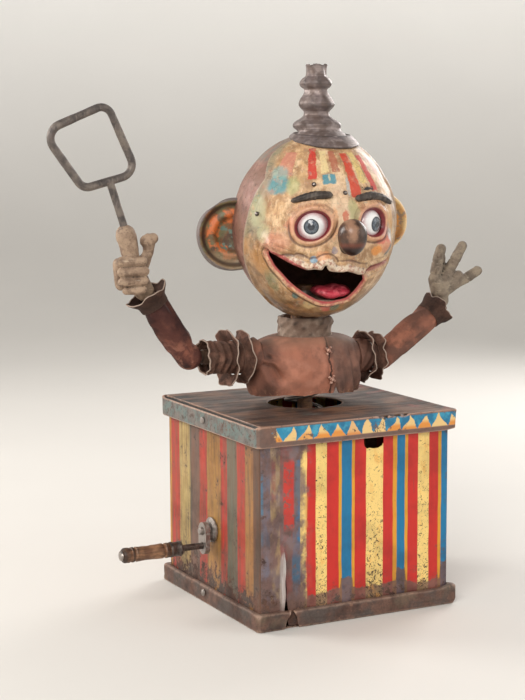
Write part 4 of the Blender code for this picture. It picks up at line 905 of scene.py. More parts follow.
def face_relief(flat, azimuth, elevation, edge):
    """How far the mask stands out from the head's plain form. `edge` is the distance in from its rim."""
    place = on_head(azimuth, elevation)
    relief = rough(place, 26, 21) * 0.7 + rough(place, 9, 22) * 0.28 + rough(place, 3.2, 23) * 0.10

    def mound(az, el, across, up, height):
        centre = unrolled(np.array(az, float), np.array(el, float))
        return height * np.exp(-((flat[:, 0] - centre[0]) / across) ** 2 - ((flat[:, 1] - centre[1]) / up) ** 2)

    # The knobs of the cheeks at both ends of the mouth, the chin, the brow ridges and the bridge of the nose.
    relief += mound(-47.5, -8.2, 8.0, 5.6, 6.2) + mound(-38, -12, 6.5, 4.6, 2.2)
    relief += mound(38, -11.0, 6.5, 6.5, 3.8) + mound(33, -14, 6, 5, 1.0)
    relief += mound(-4, -64, 15, 5, 1.4)
    relief += mound(-21, 18.5, 13, 4.2, 1.5) + mound(26, 18.0, 13, 4.2, 1.5)
    relief += mound(2, 0, 4.0, 10, 1.4) + mound(1, 12, 5, 10, 0.8)
    relief -= mound(-37, -16.8, 7.5, 1.6, 1.8)
    relief -= mound(-53.5, -13.6, 3.4, 2.4, 3.6) + mound(50, -21, 3.0, 3.0, 2.2)

    # Lids: a thick ring round each eye with a crease outside it, heavier above the eye.
    for side, (az, el) in EYES.items():
        away, _ = from_outline(flat, eye_outline(side))
        centre = unrolled(np.array(az), np.array(el))
        above = smooth_step(flat[:, 1] - centre[1], -3, 8)
        relief += (1.9 + 0.5 * above) * bump(away, 2.3, 2.9) - 0.5 * bump(away, 5.4 + 0.9 * above, 2.0)
        relief += 1.7 * above * bump(away, 5.2, 5.5)
        relief -= 1.2 * np.exp(-np.clip(away, 0, 9) / 0.8)

    # Lips: a swollen, uneven upper band in two lobes, and a thin rolled lower lip.
    mouth = mouth_outline()
    away, nearest = from_outline(flat, mouth)
    upper = np.array(UPPER_LIP)
    upper_line = rounded(unrolled(upper[:, 0], upper[:, 1]), closed=False)
    lower = np.array([UPPER_LIP[-1]] + LOWER_LIP + [UPPER_LIP[0]])
    lower_line = rounded(unrolled(lower[:, 0], lower[:, 1]), closed=False)
    to_upper, _ = from_outline(flat, upper_line, closed=False)
    to_lower, _ = from_outline(flat, lower_line, closed=False)
    is_upper = smooth_step(to_lower - to_upper, -2.0, 2.0)
    lumps = 1.0 + 0.75 * rough(place, 4.5, 31) + 0.3 * rough(place, 2.2, 33)
    middle = smooth_step(nearest[:, 0], -39, -30) * smooth_step(nearest[:, 0], 24, 14)
    relief += is_upper * middle * lumps * (2.3 * bump(away, 3.0, 3.6) + 0.5 * bump(away, 6.5, 4.0))
    relief += is_upper * (1 - middle) * 1.3 * bump(away, 2.2, 2.6)
    relief -= is_upper * 0.8 * bump(away, 8.2, 2.0)
    relief += (1 - is_upper) * (1.5 + 0.4 * rough(place, 5, 32)) * bump(away, 1.7, 2.1)
    relief -= (1 - is_upper) * 0.7 * bump(away, 4.6, 1.6)
    relief -= 0.9 * np.exp(-np.clip(away, 0, 9) / 0.7)

    # The closed crease that carries the mouth on past its corner, and the rim of the mask.
    crease = unrolled(np.array([21.5, 28.6, 40.9, 50.0]), np.array([-32.6, -27.7, -25.4, -22.9]))
    to_crease, _ = from_outline(flat, rounded(crease, closed=False), closed=False)
    relief -= 2.2 * bump(to_crease, 0, 1.5) - 1.0 * bump(to_crease, 3.4, 2.4)
    ragged = edge + 0.8 * rough(place, 5, 41)
    relief += 0.9 * smooth_step(ragged, 5.0, 0.4) + 0.35
    return relief


def face_mask(finish):
    rows, columns = 250, 270
    lift = np.linspace(-math.radians(79.5), math.radians(66), rows)
    height = HEAD_R[2] * np.sin(lift)
    radius = HEAD_R[0] * np.cos(lift)
    depth = np.interp(height, [s[0] for s in SEAM], [s[1] for s in SEAM])
    reach = np.degrees(np.arccos(np.clip(-depth / radius, -0.98, 0.98)))
    across = np.linspace(-1, 1, columns)
    azimuth = (reach[:, None] * across[None, :]).ravel()
    elevation = np.degrees(np.arctan2(np.repeat(height, columns), np.repeat(radius, columns)))
    edge = (np.radians(reach) * radius)[:, None] * (1 - np.abs(across))[None, :]
    edge = edge.ravel()
    flat = unrolled(azimuth, elevation)
    faces = grid(rows, columns)
    outlines = [mouth_outline(), eye_outline("right"), eye_outline("left")]
    for outline in outlines:
        away, nearest = from_outline(flat, outline)
        middle = flat[faces].mean(1)
        gone = from_outline(middle, outline)[0] < 0
        rim = np.intersect1d(np.unique(faces[gone]), np.unique(faces[~gone]))
        faces = faces[~gone]
        flat[rim] = nearest[rim]
    azimuth, elevation = rolled(flat)
    relief = face_relief(flat, azimuth, elevation, edge)
    points = head_place(on_head(azimuth, elevation, relief))
    used = np.unique(faces)
    renumber = np.full(len(points), -1)
    renumber[used] = np.arange(len(used))
    mask = piece("face", points[used], renumber[faces], finish, "head", ["face_mask"], sharp=60)
    thicken(mask, MASK_WALL, -1.0)
    mask.modifiers["wall"].use_rim = True
    return mask


def skull(finish):
    """The back of the head, tucked under the mask's edge."""
    rows, columns = 90, 130
    lift = np.linspace(-math.radians(79.5), math.radians(86), rows)
    height = HEAD_R[2] * np.sin(lift)
    radius = HEAD_R[0] * np.cos(lift)
    depth = np.interp(height, [s[0] for s in SEAM], [s[1] for s in SEAM]) - 3.0
    start = np.degrees(np.arccos(np.clip(-depth / radius, -0.98, 1.0)))
    across = np.linspace(0, 1, columns)
    azimuth = (start[:, None] + (360 - 2 * start[:, None]) * across[None, :]).ravel()
    elevation = np.degrees(np.arctan2(np.repeat(height, columns), np.repeat(radius, columns)))
    place = on_head(azimuth, elevation)
    dents = rough(place, 30, 51) * 0.7 + rough(place, 10, 52) * 0.3
    local = on_head(azimuth, elevation, dents - 0.5)
    shell = piece("skull", head_place(local), grid(rows, columns), finish, "head", ["skull_shell"])
    thicken(shell, MASK_WALL, -1.0)
    return shell


class HeadPaint(Paint):
    """A paint that knows azimuth and elevation on the head, with an uneven hand."""

    def __init__(self, name, **more):
        super().__init__(name, **more)
        c, s = math.cos(-HEAD_YAW), math.sin(-HEAD_YAW)
        x = self.x - float(HEAD[0])
        y = self.y - float(HEAD[1])
        side = x * c - y * s
        front = -(x * s + y * c)
        up = self.z - float(HEAD[2])
        away = self.math("SQRT", side * side + front * front)
        degree = 180 / math.pi
        self.azimuth = self.math("ARCTAN2", side, front) * degree
        self.elevation = self.math("ARCTAN2", up, away) * degree
        drift = self.noise(5, detail=5, roughness=0.65, seed=71) - 0.5
        other = self.noise(5, detail=5, roughness=0.65, seed=77) - 0.5
        self.az = self.azimuth + drift * 5.0
        self.el = self.elevation + other * 5.0

    def patch(self, az, el, across, up, soft=0.5):
        """1 inside a ragged box centred on (az, el)."""
        beside = abs(self.az - az) - across
        above = abs(self.el - el) - up
        return self.ramp(self.math("MAXIMUM", beside, above), soft, -soft)

    def spot(self, az, el, across, up, soft=0.35):
        """1 inside a ragged oval."""
        u = (self.az - az) / across
        v = (self.el - el) / up
        return self.ramp(self.math("SQRT", u * u + v * v), 1 + soft, 1 - soft)


# Paint left on the mask: azimuth, elevation, half sizes, colour and strength.
FOREHEAD_STRIPES = [
    (-44.5, 46, 6.5, 9.0, tone(192, 122, 104), 0.75), (-21.3, 47, 3.6, 12.5, tone(196, 58, 46), 0.95),
    (-0.8, 48, 3.6, 8.5, tone(168, 92, 70), 0.8), (12.4, 38, 4.2, 16.5, tone(200, 66, 44), 0.92),
    (31.5, 39, 3.3, 13.5, tone(192, 50, 44), 0.92), (47, 42, 4, 10, tone(176, 96, 76), 0.6),
    (22.5, 43, 4.0, 12.0, tone(222, 196, 122), 0.8), (-10.5, 48, 3.4, 9.0, tone(226, 204, 150), 0.8),
    (-7.4, 34.4, 5.2, 3.4, tone(44, 138, 158), 0.85), (-7.6, 35.5, 0.8, 2.2, tone(210, 196, 160), 0.7),
]
MASK_PATCHES = [
    (-48.0, 30.0, 8.0, 6.0, tone(64, 140, 150), 0.85), (-49.0, 38.0, 7.0, 5.0, tone(128, 162, 156), 0.7),
    (-60.0, 34.0, 5.0, 8.0, tone(150, 132, 116), 0.6), (34.0, -2.0, 3.4, 2.6, tone(206, 210, 212), 0.7),
    (46.0, -12.0, 3.2, 2.8, tone(70, 118, 132), 0.75), (30.5, -8.6, 2.6, 2.0, tone(198, 92, 80), 0.7),
    (40.5, 0.5, 2.0, 2.4, tone(108, 150, 168), 0.75), (50.0, -4.0, 3.0, 4.0, tone(214, 196, 168), 0.7),
    (-35.5, 30.0, 4.5, 6.0, tone(158, 168, 112), 0.6), (-30.0, 36.0, 3.0, 4.0, tone(196, 158, 110), 0.5),
    (-20.0, -19.6, 2.3, 2.0, tone(104, 150, 178), 0.85), (-5.6, -13.8, 1.8, 2.3, tone(140, 128, 150), 0.7),
    (28.5, -15.3, 3.6, 3.2, tone(220, 142, 66), 0.85), (-13.5, -17.6, 4.4, 3.2, tone(220, 150, 104), 0.65),
    (39.2, -14.6, 2.6, 4.0, tone(74, 112, 112), 0.7), (-37.5, -48.5, 3.2, 2.6, tone(72, 116, 114), 0.8),
    (-39.0, -41.8, 4.5, 2.2, tone(212, 142, 60), 0.75), (-56.0, -36.0, 5.0, 8.0, tone(120, 134, 98), 0.5),
    (1.2, 8.7, 1.6, 3.6, tone(190, 92, 66), 0.8), (-6.0, 4.0, 1.9, 9.0, tone(222, 160, 112), 0.6),
    (7.5, 12.0, 3.4, 7.0, tone(166, 166, 118), 0.7), (44.0, 8.0, 5.0, 14.0, tone(206, 156, 96), 0.7),
    (6.5, 29.0, 1.4, 6.0, tone(168, 184, 190), 0.6), (-24.0, -57.0, 8.0, 3.0, tone(224, 196, 140), 0.6),
    (-4.0, -61.5, 6.0, 2.2, tone(200, 104, 88), 0.7), (8.0, -60.5, 6.0, 2.6, tone(92, 116, 96), 0.6),
    (-62.0, 12.0, 6.5, 9.0, tone(178, 178, 140), 0.55), (-56.0, -3.0, 5.0, 5.5, tone(168, 172, 132), 0.5),
    (-35.0, 3.5, 3.6, 4.2, tone(206, 132, 104), 0.55), (36.5, -4.0, 4.5, 4.5, tone(196, 92, 84), 0.55),
    (42.0, -5.0, 3.4, 4.0, tone(168, 180, 178), 0.65), (-61.0, -22.0, 7.0, 9.0, tone(176, 124, 66), 0.55),
]


def shared_relief(p, colour, seed):
    """Fine specks and crazing over old paint. Returns the colour and a height."""
    fine = p.noise(1.5, detail=6, roughness=0.7, seed=seed)
    colour = p.dim(colour, p.ramp(fine, 0.54, 0.72) * 0.30)
    net = p.cracks(4.5, 0.05, seed=seed + 1) * p.ramp(p.noise(14, detail=3, seed=seed + 2), 0.45, 0.6)
    colour = p.dim(colour, net * 0.35)
    height = 0.10 * p.noise(2.2, detail=7, roughness=0.68, seed=seed + 3) - 0.05 * net + 0.03 * fine
    return colour, height


def face_paint():
    p = HeadPaint("face_paint", roughness=0.5, coat=0.12)
    cream = p.blotch([tone(206, 166, 122), tone(186, 146, 102), tone(222, 190, 150), tone(164, 126, 88)], 7, seed=61)
    streaks = p.noise(1.9, detail=6, roughness=0.68, stretch=(1, 1, 4.5), seed=63)
    cream = p.mix(p.ramp(streaks, 0.52, 0.66) * 0.55, cream, tone(146, 108, 76))
    cream = p.mix(p.ramp(streaks, 0.46, 0.34) * 0.55, cream, tone(232, 206, 172))
    # A paler cream band down the middle of the face, partly a painted highlight.
    ridge = p.spot(-2.0, 14.0, 8.0, 26.0, 0.5)
    cream = p.mix(ridge * 0.55, cream, tone(234, 208, 178))
    # The side and the underside are ochre and brown, partly as painted shade, the temple a dusty green-grey.
    side = p.ramp(abs(p.az + 2.0), 40, 66)
    under = p.ramp(p.el, -40, -58)
    ochre = p.blotch([tone(150, 118, 80), tone(130, 92, 54), tone(158, 112, 66), tone(102, 76, 50)], 8, seed=64)
    colour = p.mix(side * 0.75, cream, ochre)
    colour = p.mix(under * 0.85, colour, ochre)
    temple = p.ramp(p.az, -52, -64) * p.ramp(p.el, -12, 4)
    colour = p.mix(temple * 0.75, colour, p.blotch([tone(146, 146, 120), tone(164, 150, 122), tone(128, 128, 108)], 6, seed=66))
    rosy = p.spot(-47.0, -8.5, 11, 7) + p.spot(37.5, -11, 7, 6)
    colour = p.mix(rosy * 0.6, colour, p.blotch([tone(190, 118, 96), tone(216, 150, 124)], 5, seed=69))
    sockets = p.spot(-20.8, 4.5, 15.0, 15.0, 0.35) + p.spot(23.6, 5.0, 15.0, 14.5, 0.35)
    colour = p.mix(sockets * 0.7, colour, p.blotch([tone(198, 142, 108), tone(214, 164, 124), tone(170, 112, 84)], 3.5, seed=67))
    for table, blurred in ((FOREHEAD_STRIPES, False), (MASK_PATCHES, True)):
        for k, (az, el, across, up, paint, strength) in enumerate(table):
            where = p.spot(az, el, across * 1.15, up * 1.15, 0.25) if blurred else p.patch(az, el, across, up, 0.5)
            broken = p.ramp(p.noise(2.6, detail=7, roughness=0.75, seed=80 + k), 0.24, 0.42)
            colour = p.mix(where * broken * strength, colour, paint)

    confetti = p.blotch([tone(150, 150, 120), tone(208, 146, 92), tone(118, 148, 146), tone(224, 186, 150), tone(184, 112, 92)],
                        3.2, seed=112)
    scatter = p.ramp(p.noise(6, detail=6, roughness=0.7, seed=118), 0.52, 0.64)
    colour = p.mix(scatter * 0.42, colour, confetti)

    # Distances from the eyes and the mouth, kept on the mesh's points.
    eye = p.attribute("to_eye")
    mouth = p.attribute("to_mouth")
    upper = p.attribute("upper_lip")
    colour = p.mix(p.band(eye, -1, 1.5, 0.35), colour, tone(112, 28, 34))
    colour = p.mix(p.band(eye, 1.7, 3.4, 0.7) * p.ramp(streaks, 0.3, 0.6) * 0.6, colour, tone(214, 162, 134))
    # Painted shade: a streaky dark brown band in the crease outside the lids.
    colour = p.mix(p.band(eye, 4.3, 5.8, 1.0) * p.ramp(streaks, 0.42, 0.6) * 0.4, colour, tone(104, 64, 48))
    lobes = p.noise(3.0, detail=6, roughness=0.7, seed=121)
    band = p.band(mouth + (lobes - 0.5) * 4.5, -1, 5.6, 0.6) * upper * p.band(p.azimuth, -38, 30, 4)
    white = p.blotch([tone(214, 198, 176), tone(188, 154, 130), tone(232, 218, 198), tone(172, 118, 104), tone(222, 206, 184)], 2.6,
                     seed=122)
    colour = p.mix(band * 0.8, colour, white)
    red_line = p.band(mouth + (lobes - 0.5) * 1.6, -1, 3.2, 0.4) * upper * p.ramp(p.azimuth, -22, -28)
    colour = p.mix(red_line * 0.85, colour, p.blotch([tone(146, 40, 48), tone(196, 92, 92)], 2.5, seed=125))
    lower = (1.0 - upper) * p.band(mouth + (lobes - 0.5) * 1.8, -1, 2.2, 0.4)
    lip = p.blotch([tone(196, 128, 108), tone(220, 184, 146), tone(172, 96, 90), tone(204, 160, 124)], 3, seed=124)
    colour = p.mix(lower * 0.8, colour, lip)
    colour = p.mix((1.0 - upper) * p.band(mouth, -1, 0.7, 0.25) * 0.8, colour, tone(156, 40, 52))

    # Painted shade in the hollows, and the bare dark edge of the mask.
    edge = p.attribute("to_edge")
    chips = p.noise(3.0, detail=8, roughness=0.72, distortion=0.5, seed=126)
    colour = p.mix(p.ramp(edge + (chips - 0.5) * 4, 2.2, 0.8) * 0.8, colour, tone(150, 132, 112))
    chipped = p.ramp(chips, 0.685, 0.70)
    colour = p.mix(chipped * 0.8, colour, tone(84, 60, 46))
    # Painted shade in the hollows of the mask.
    hollow_shade = p.pointiness(0.497, 0.47)
    colour = p.mix(hollow_shade * 0.7, colour, tone(76, 46, 34))
    crease = p.band(p.azimuth, 22, 52, 2.0) * p.ramp(abs(p.elevation + 26.5 - (p.azimuth - 37.0) * 0.22), 2.2, 0.6)
    colour = p.mix(crease * 0.7, colour, tone(150, 62, 66))
    tear = p.patch(25.0, 27.2, 6.0, 1.1, 0.5) * p.ramp(chips, 0.40, 0.48)
    colour = p.mix(tear, colour, tone(16, 12, 10))
    notch = p.spot(-11.4, -25.6, 1.0, 2.2, 0.3)
    colour = p.mix(notch * 0.9, colour, tone(20, 12, 10))
    colour, height = shared_relief(p, colour, 131)
    # The mask's inner wall is painted near-black, as painted shade inside the head.
    inner = p.attribute("inside")
    colour = p.mix(inner, colour, tone(30, 14, 12))
    roughness = 0.44 + 0.25 * chipped + 0.14 * p.ramp(p.noise(9, seed=135), 0.4, 0.7)
    return p.finish(colour, roughness=roughness, height=height - 0.12 * chipped)


def measure_face(mask):
    """Writes on the mask's points how far they are from the eyes, the mouth and the mask's edge."""
    settle(mask)
    mesh = mask.data
    count = len(mesh.vertices)
    local = np.zeros(count * 3)
    mesh.vertices.foreach_get("co", local)
    local = local.reshape(-1, 3) / MM - HEAD
    c, s = math.cos(-HEAD_YAW), math.sin(-HEAD_YAW)
    side, front = local[:, 0] * c - local[:, 1] * s, -(local[:, 0] * s + local[:, 1] * c)
    azimuth = np.degrees(np.arctan2(side, front))
    elevation = np.degrees(np.arctan2(local[:, 2], np.hypot(side, front)))
    flat = unrolled(azimuth, elevation)
    to_eye = np.minimum(from_outline(flat, eye_outline("right"))[0], from_outline(flat, eye_outline("left"))[0])
    to_mouth, _ = from_outline(flat, mouth_outline())
    upper = np.array(UPPER_LIP)
    lower = np.array([UPPER_LIP[-1]] + LOWER_LIP + [UPPER_LIP[0]])
    to_upper, _ = from_outline(flat, rounded(unrolled(upper[:, 0], upper[:, 1]), closed=False), closed=False)
    to_lower, _ = from_outline(flat, rounded(unrolled(lower[:, 0], lower[:, 1]), closed=False), closed=False)
    depth = np.interp(local[:, 2], [s0[0] for s0 in SEAM], [s0[1] for s0 in SEAM])
    plain = np.linalg.norm(on_head(azimuth, elevation), axis=1)
    reach = np.linalg.norm(np.column_stack([side, front, local[:, 2]]), axis=1)
    values = {
        "to_eye": to_eye, "to_mouth": to_mouth, "upper_lip": smooth_step(to_lower - to_upper, -1.5, 1.5),
        "to_edge": np.abs(-front - depth) * 1.2, "inside": (reach < plain - 1.9).astype(float),
    }
    for name, value in values.items():
        layer = mesh.attributes.new(name, "FLOAT", "POINT")
        layer.data.foreach_set("value", value.astype(np.float32))


def skull_paint():
    p = HeadPaint("skull_paint", roughness=0.6)
    colour = p.blotch([tone(136, 94, 82), tone(112, 76, 66), tone(150, 110, 96), tone(122, 86, 70)], 12, seed=141)
    chips = p.noise(3.4, detail=8, roughness=0.72, seed=143)
    colour = p.mix(p.ramp(chips, 0.60, 0.62) * 0.7, colour, tone(74, 56, 50))
    top = p.ramp(p.elevation, 44, 52)
    colour = p.mix(top * 0.6, colour, p.blotch([tone(120, 124, 112), tone(140, 112, 98)], 6, seed=144))
    # Painted shade, darker towards the underside of the head.
    colour = p.dim(colour, p.ramp(p.elevation, -20, -55) * 0.35)
    colour, height = shared_relief(p, colour, 146)
    return p.finish(colour, roughness=0.5 + 0.2 * p.ramp(chips, 0.4, 0.7), height=height)


def eye(side, finish):
    """A glass ball with a raised clear front and a painted iris that looks a little aside."""
    azimuth, elevation = EYES[side]
    ray = head_ray(np.array(azimuth), np.array(elevation))
    surface = on_head(np.array(azimuth), np.array(elevation))
    centre = head_place(surface - ray * EYE_SINK)
    ahead = head_place(ray) - HEAD
    profile = [(0.001, -EYE_R)]
    profile += [(EYE_R * math.cos(a), EYE_R * math.sin(a)) for a in np.radians(np.arange(-84, 84, 6))]
    front = [(r, math.sqrt(EYE_R ** 2 - r * r) + 0.45 * math.exp(-(r / 3.4) ** 4)) for r in np.linspace(1.1, 0, 4)]
    profile += front[:-1] + [(0.001, front[-1][1])]
    points, faces = turned(profile, 48, centre, ahead)
    return piece(f"eyeball_{side}", points, faces, finish, "head", [f"eye_{side}"], sharp=80)


def eye_paint(side, look):
    """White glass with faint pink at the edge and a grey-blue iris where the eye looks."""
    p = Paint(f"eye_glass_{side}", roughness=0.07, coat=0.6)
    azimuth, elevation = EYES[side]
    aim = head_ray(np.array(azimuth + look[0]), np.array(elevation + look[1]))
    centre = on_head(np.array(azimuth), np.array(elevation)) - head_ray(np.array(azimuth), np.array(elevation)) * EYE_SINK
    pupil = head_place(centre + aim * EYE_R)
    away = p.node("ShaderNodeVectorMath", operation="DISTANCE")
    p.tree.links.new(p.place.socket, away.inputs[0])
    away.inputs[1].default_value = pupil
    distance = Signal(p, away.outputs["Value"])
    tip = head_place(centre + head_ray(np.array(azimuth), np.array(elevation)) * EYE_R)
    edge = p.node("ShaderNodeVectorMath", operation="DISTANCE")
    p.tree.links.new(p.place.socket, edge.inputs[0])
    edge.inputs[1].default_value = tip
    from_tip = Signal(p, edge.outputs["Value"])
    white = p.mix(p.ramp(from_tip, 6.0, 9.6) * 0.8, tone(226, 226, 226), tone(190, 140, 142))
    veins = p.cracks(5.0, 0.035, seed=151) * p.ramp(from_tip, 5.0, 8.0) * 0.35
    white = p.mix(veins, white, tone(170, 70, 70))
    strands = p.noise(1.2, detail=4, seed=152)
    iris = p.mix(p.ramp(strands, 0.35, 0.65), tone(62, 72, 84), tone(98, 106, 114))
    iris = p.mix(p.ramp(distance, 3.6, 4.8), iris, tone(34, 40, 48))
    iris = p.mix(p.ramp(distance, 2.6, 1.9) * 0.85, iris, tone(36, 38, 44))
    colour = p.mix(p.ramp(distance, 5.2, 4.8), white, iris)
    return p.finish(colour)


def brow(side, finish):
    spans = {"right": (-35.5, -7.0, 18.3, 22.4), "left": (9.0, 46.0, 19.4, 15.4)}
    start, end, low, high = spans[side]
    t = np.linspace(0, 1, 40)
    arch = 1.4 if side == "right" else 3.4
    path = head_place(on_head(start + (end - start) * t, low + (high - low) * t + arch * np.sin(math.pi * t), 2.4))
    inner = t if side == "right" else 1 - t
    radii = (1.6 + 1.15 * np.sin(math.pi * np.clip(inner * 1.05 - 0.02, 0, 1)) ** 0.6) * (0.75 + 0.36 * inner)
    radii *= np.minimum(1, np.sqrt(np.minimum(t, 1 - t) / 0.05 + 0.02))

    def hair(share, angle):
        return 0.22 * np.sin(angle * 7 + share * 9) * np.sin(math.pi * share) + 0.1 * np.sin(share * 60 + angle * 3)

    points, faces = tube(path, radii, 28, shape=hair)
    points = points + (0.25 * rough(points, 2.0, 161))[:, None] * 0.6
    return piece(f"brow_{side}_carved", points, faces, finish, "head", [f"brow_{side}"], sharp=70)


def dark_wood(name, colours, seed, roughness=0.5, coat=0.0, grain=(1, 1, 6)):
    p = Paint(name, roughness=roughness, coat=coat)
    colour = p.blotch(colours, 4, seed=seed, stretch=grain)
    fine = p.noise(0.9, detail=6, roughness=0.7, seed=seed + 2, stretch=grain)
    colour = p.dim(colour, p.ramp(fine, 0.45, 0.7) * 0.35)
    rub = p.pointiness(0.51, 0.56)
    colour = p.mix(rub * 0.3, colour, colours[-1])
    return p.finish(colour, roughness=roughness - 0.12 + 0.24 * fine, height=0.12 * fine)


def nose(finish):
    """A turned bulb, taller than wide, that stands out of the face and hangs a little at its tip."""
    root = on_head(np.array(3.0), np.array(-7.5)) * 0.97
    tip = np.array((-1.2, -79.5, -4.0))
    t = np.linspace(0, 1, 40)
    path = root + (tip - root) * t[:, None]
    path[:, 2] += 2.2 * np.sin(math.pi * t * 0.9)
    swell = 5.6 + 3.6 * smooth_step(t, 0.05, 0.62)
    cap = np.sqrt(np.clip(1 - (np.clip(t - 0.62, 0, 1) / 0.38) ** 2.2, 0, 1))
    radii = np.maximum(swell * cap, 0.05)
    points, faces = tube(path, radii, 44)
    middle = path.mean(0)
    points[:, 2] = middle[2] + (points[:, 2] - middle[2]) * np.where(points[:, 2] > middle[2], 1.12, 1.42)
    points += (rough(points, 7, 171) * 0.3)[:, None] * (points - middle) / 12.0
    return piece("nose_bulb", head_place(points), faces, finish, "head", ["nose"], sharp=80)


def nose_paint():
    p = HeadPaint("nose_paint", roughness=0.4, coat=0.15)
    colour = p.blotch([tone(66, 44, 33), tone(48, 31, 23), tone(82, 56, 41)], 6, seed=173)
    front = p.ramp(p.y, -70, -86)
    # Painted shade on the flanks of the bulb's front, and a pale stripe down its middle as a painted highlight.
    colour = p.mix(front * (1.0 - p.spot(-1.5, -1.0, 4.6, 12.0, 0.25)) * 0.7, colour, tone(40, 27, 20))
    colour = p.mix(front * p.spot(-2.2, 1.0, 2.3, 5.6, 0.45) * 0.85, colour, tone(158, 120, 96))
    # Painted shade: dark brown, then near-black, towards the underside of the bulb.
    colour = p.mix(p.ramp(p.z, 245.5, 243.0) * 0.6, colour, tone(112, 50, 30))
    colour = p.mix(p.ramp(p.z, 243.0, 240.0) * 0.92, colour, tone(20, 13, 10))
    # Painted shade towards the root of the bulb, where it meets the face.
    colour = p.mix(p.ramp(p.y, -72, -64) * 0.6, colour, tone(42, 28, 20))
    fine = p.noise(1.4, detail=6, roughness=0.7, seed=175)
    colour = p.dim(colour, p.ramp(fine, 0.5, 0.75) * 0.3)
    return p.finish(colour, roughness=0.26 + 0.2 * fine, height=0.09 * fine)


EAR_AT = {"right": np.array((-52.5, 9.0, -5.6)), "left": np.array((51.5, 10.0, 0.8))}      # in the head's own frame
EAR_TURN = {"right": -14.0, "left": 0.0}
EAR_REACH = {"right": 23.4, "left": 19.0}


def ear(side, finish):
    """A dished disc with a rolled rim, a torn lower edge and a ridge inside."""
    sign = -1 if side == "right" else 1
    centre = EAR_AT[side]
    reach = EAR_REACH[side]
    share = np.concatenate([np.linspace(0.02, 0.86, 26), np.linspace(0.88, 1.0, 8)])
    angle = np.arange(120) * math.tau / 120
    r = reach * share[:, None] * (1 + 0.02 * np.sin(2 * angle + 0.6) + 0.012 * np.sin(5 * angle))[None, :]
    x, z = r * np.cos(angle), r * np.sin(angle)
    bowl = 4.6 * (1 - np.clip(r / (reach * 0.88), 0, 1) ** 2.4)
    rim = -2.4 * bump(r, reach * 0.955, 2.4) + 1.6 * smooth_step(r, reach * 0.97, reach)
    ridge = -2.2 * bump(r, reach * 0.58, 3.6) * smooth_step(np.cos(angle - (math.pi * 0.97 if sign > 0 else 0.03))[None, :], 0.9, 0.1)
    y = bowl + rim + ridge
    y = y + (rough(np.stack([x, y, z], -1), 9, 181 + sign).reshape(x.shape)) * 0.5
    lean = math.radians(EAR_TURN[side])
    local = np.stack([x * math.cos(lean) - y * math.sin(lean), x * math.sin(lean) + y * math.cos(lean), z], -1) + centre
    faces = grid(len(share), len(angle), close_columns=True)
    middle = len(share) * len(angle)
    points = np.concatenate([local.reshape(-1, 3), [centre + (-4.6 * math.sin(lean), 4.6 * math.cos(lean), 0)]])
    hub = [[middle, (k + 1) % len(angle), k] for k in range(len(angle))]
    inner = (points / HEAD_R)
    gone = (inner ** 2).sum(1) < 0.90
    kept = [list(f) for f in faces if not gone[f].all()] + [f for f in hub if not gone[f].all()]
    if sign < 0:
        kept = [f[::-1] for f in kept]
    disc = piece(f"ear_{side}_dish", head_place(points), kept, finish, "head", [f"ear_{side}"], sharp=60)
    thicken(disc, 1.7, 0.0)
    return disc


def ear_paint(side):
    p = Paint(f"ear_paint_{side}", roughness=0.55)
    centre = head_place(EAR_AT[side])
    c, s = math.cos(-HEAD_YAW), math.sin(-HEAD_YAW)
    across = (p.x - float(centre[0])) * c - (p.y - float(centre[1])) * s
    up = p.z - float(centre[2])
    reach = p.math("SQRT", across * across + up * up) * (23.4 / EAR_REACH[side])
    ragged = reach + (p.noise(6, detail=6, roughness=0.65, seed=191) - 0.5) * 5
    if side == "right":
        colour = p.blotch([tone(118, 76, 44), tone(76, 54, 38), tone(104, 98, 68)], 7, seed=192)
        colour = p.mix(p.band(ragged, 8, 17, 1.0) * p.ramp(p.noise(7, detail=5, seed=194), 0.42, 0.55), colour, tone(196, 104, 50))
        colour = p.mix(p.ramp(p.noise(6, detail=4, seed=196), 0.54, 0.62) * p.ramp(ragged, 14, 10), colour, tone(96, 116, 104))
        colour = p.mix(p.ramp(up, -9, -15) * 0.7, colour, tone(140, 118, 90))
        colour = p.mix(p.band(reach, 18.5, 21.0, 0.8) * 0.75, colour, tone(58, 44, 40))
        rim = tone(112, 104, 104)
    else:
        colour = p.blotch([tone(220, 178, 116), tone(228, 196, 140), tone(206, 150, 96)], 5, seed=202)
        colour = p.mix(p.band(ragged, 7, 18, 1.0) * p.ramp(p.noise(5, detail=5, seed=204), 0.44, 0.52), colour, tone(220, 148, 60))
        colour = p.mix(p.ramp(p.noise(4, detail=4, seed=206), 0.56, 0.62) * 0.7, colour, tone(134, 128, 122))
        rim = tone(236, 206, 168)
    worn = p.ramp(reach + (p.noise(3, detail=6, roughness=0.7, seed=208) - 0.5) * 3.0, 22.2, 23.0)
    colour = p.mix(worn * 0.8, colour, rim)
    depth = (p.x - float(centre[0])) * s + (p.y - float(centre[1])) * c
    behind = p.ramp(depth - across * math.tan(math.radians(EAR_TURN[side])), 6.3, 7.0)
    colour = p.mix(behind * 0.5, colour, tone(84, 58, 48))
    colour, height = shared_relief(p, colour, 210)
    return p.finish(colour, roughness=0.5 + 0.1 * worn, height=height)


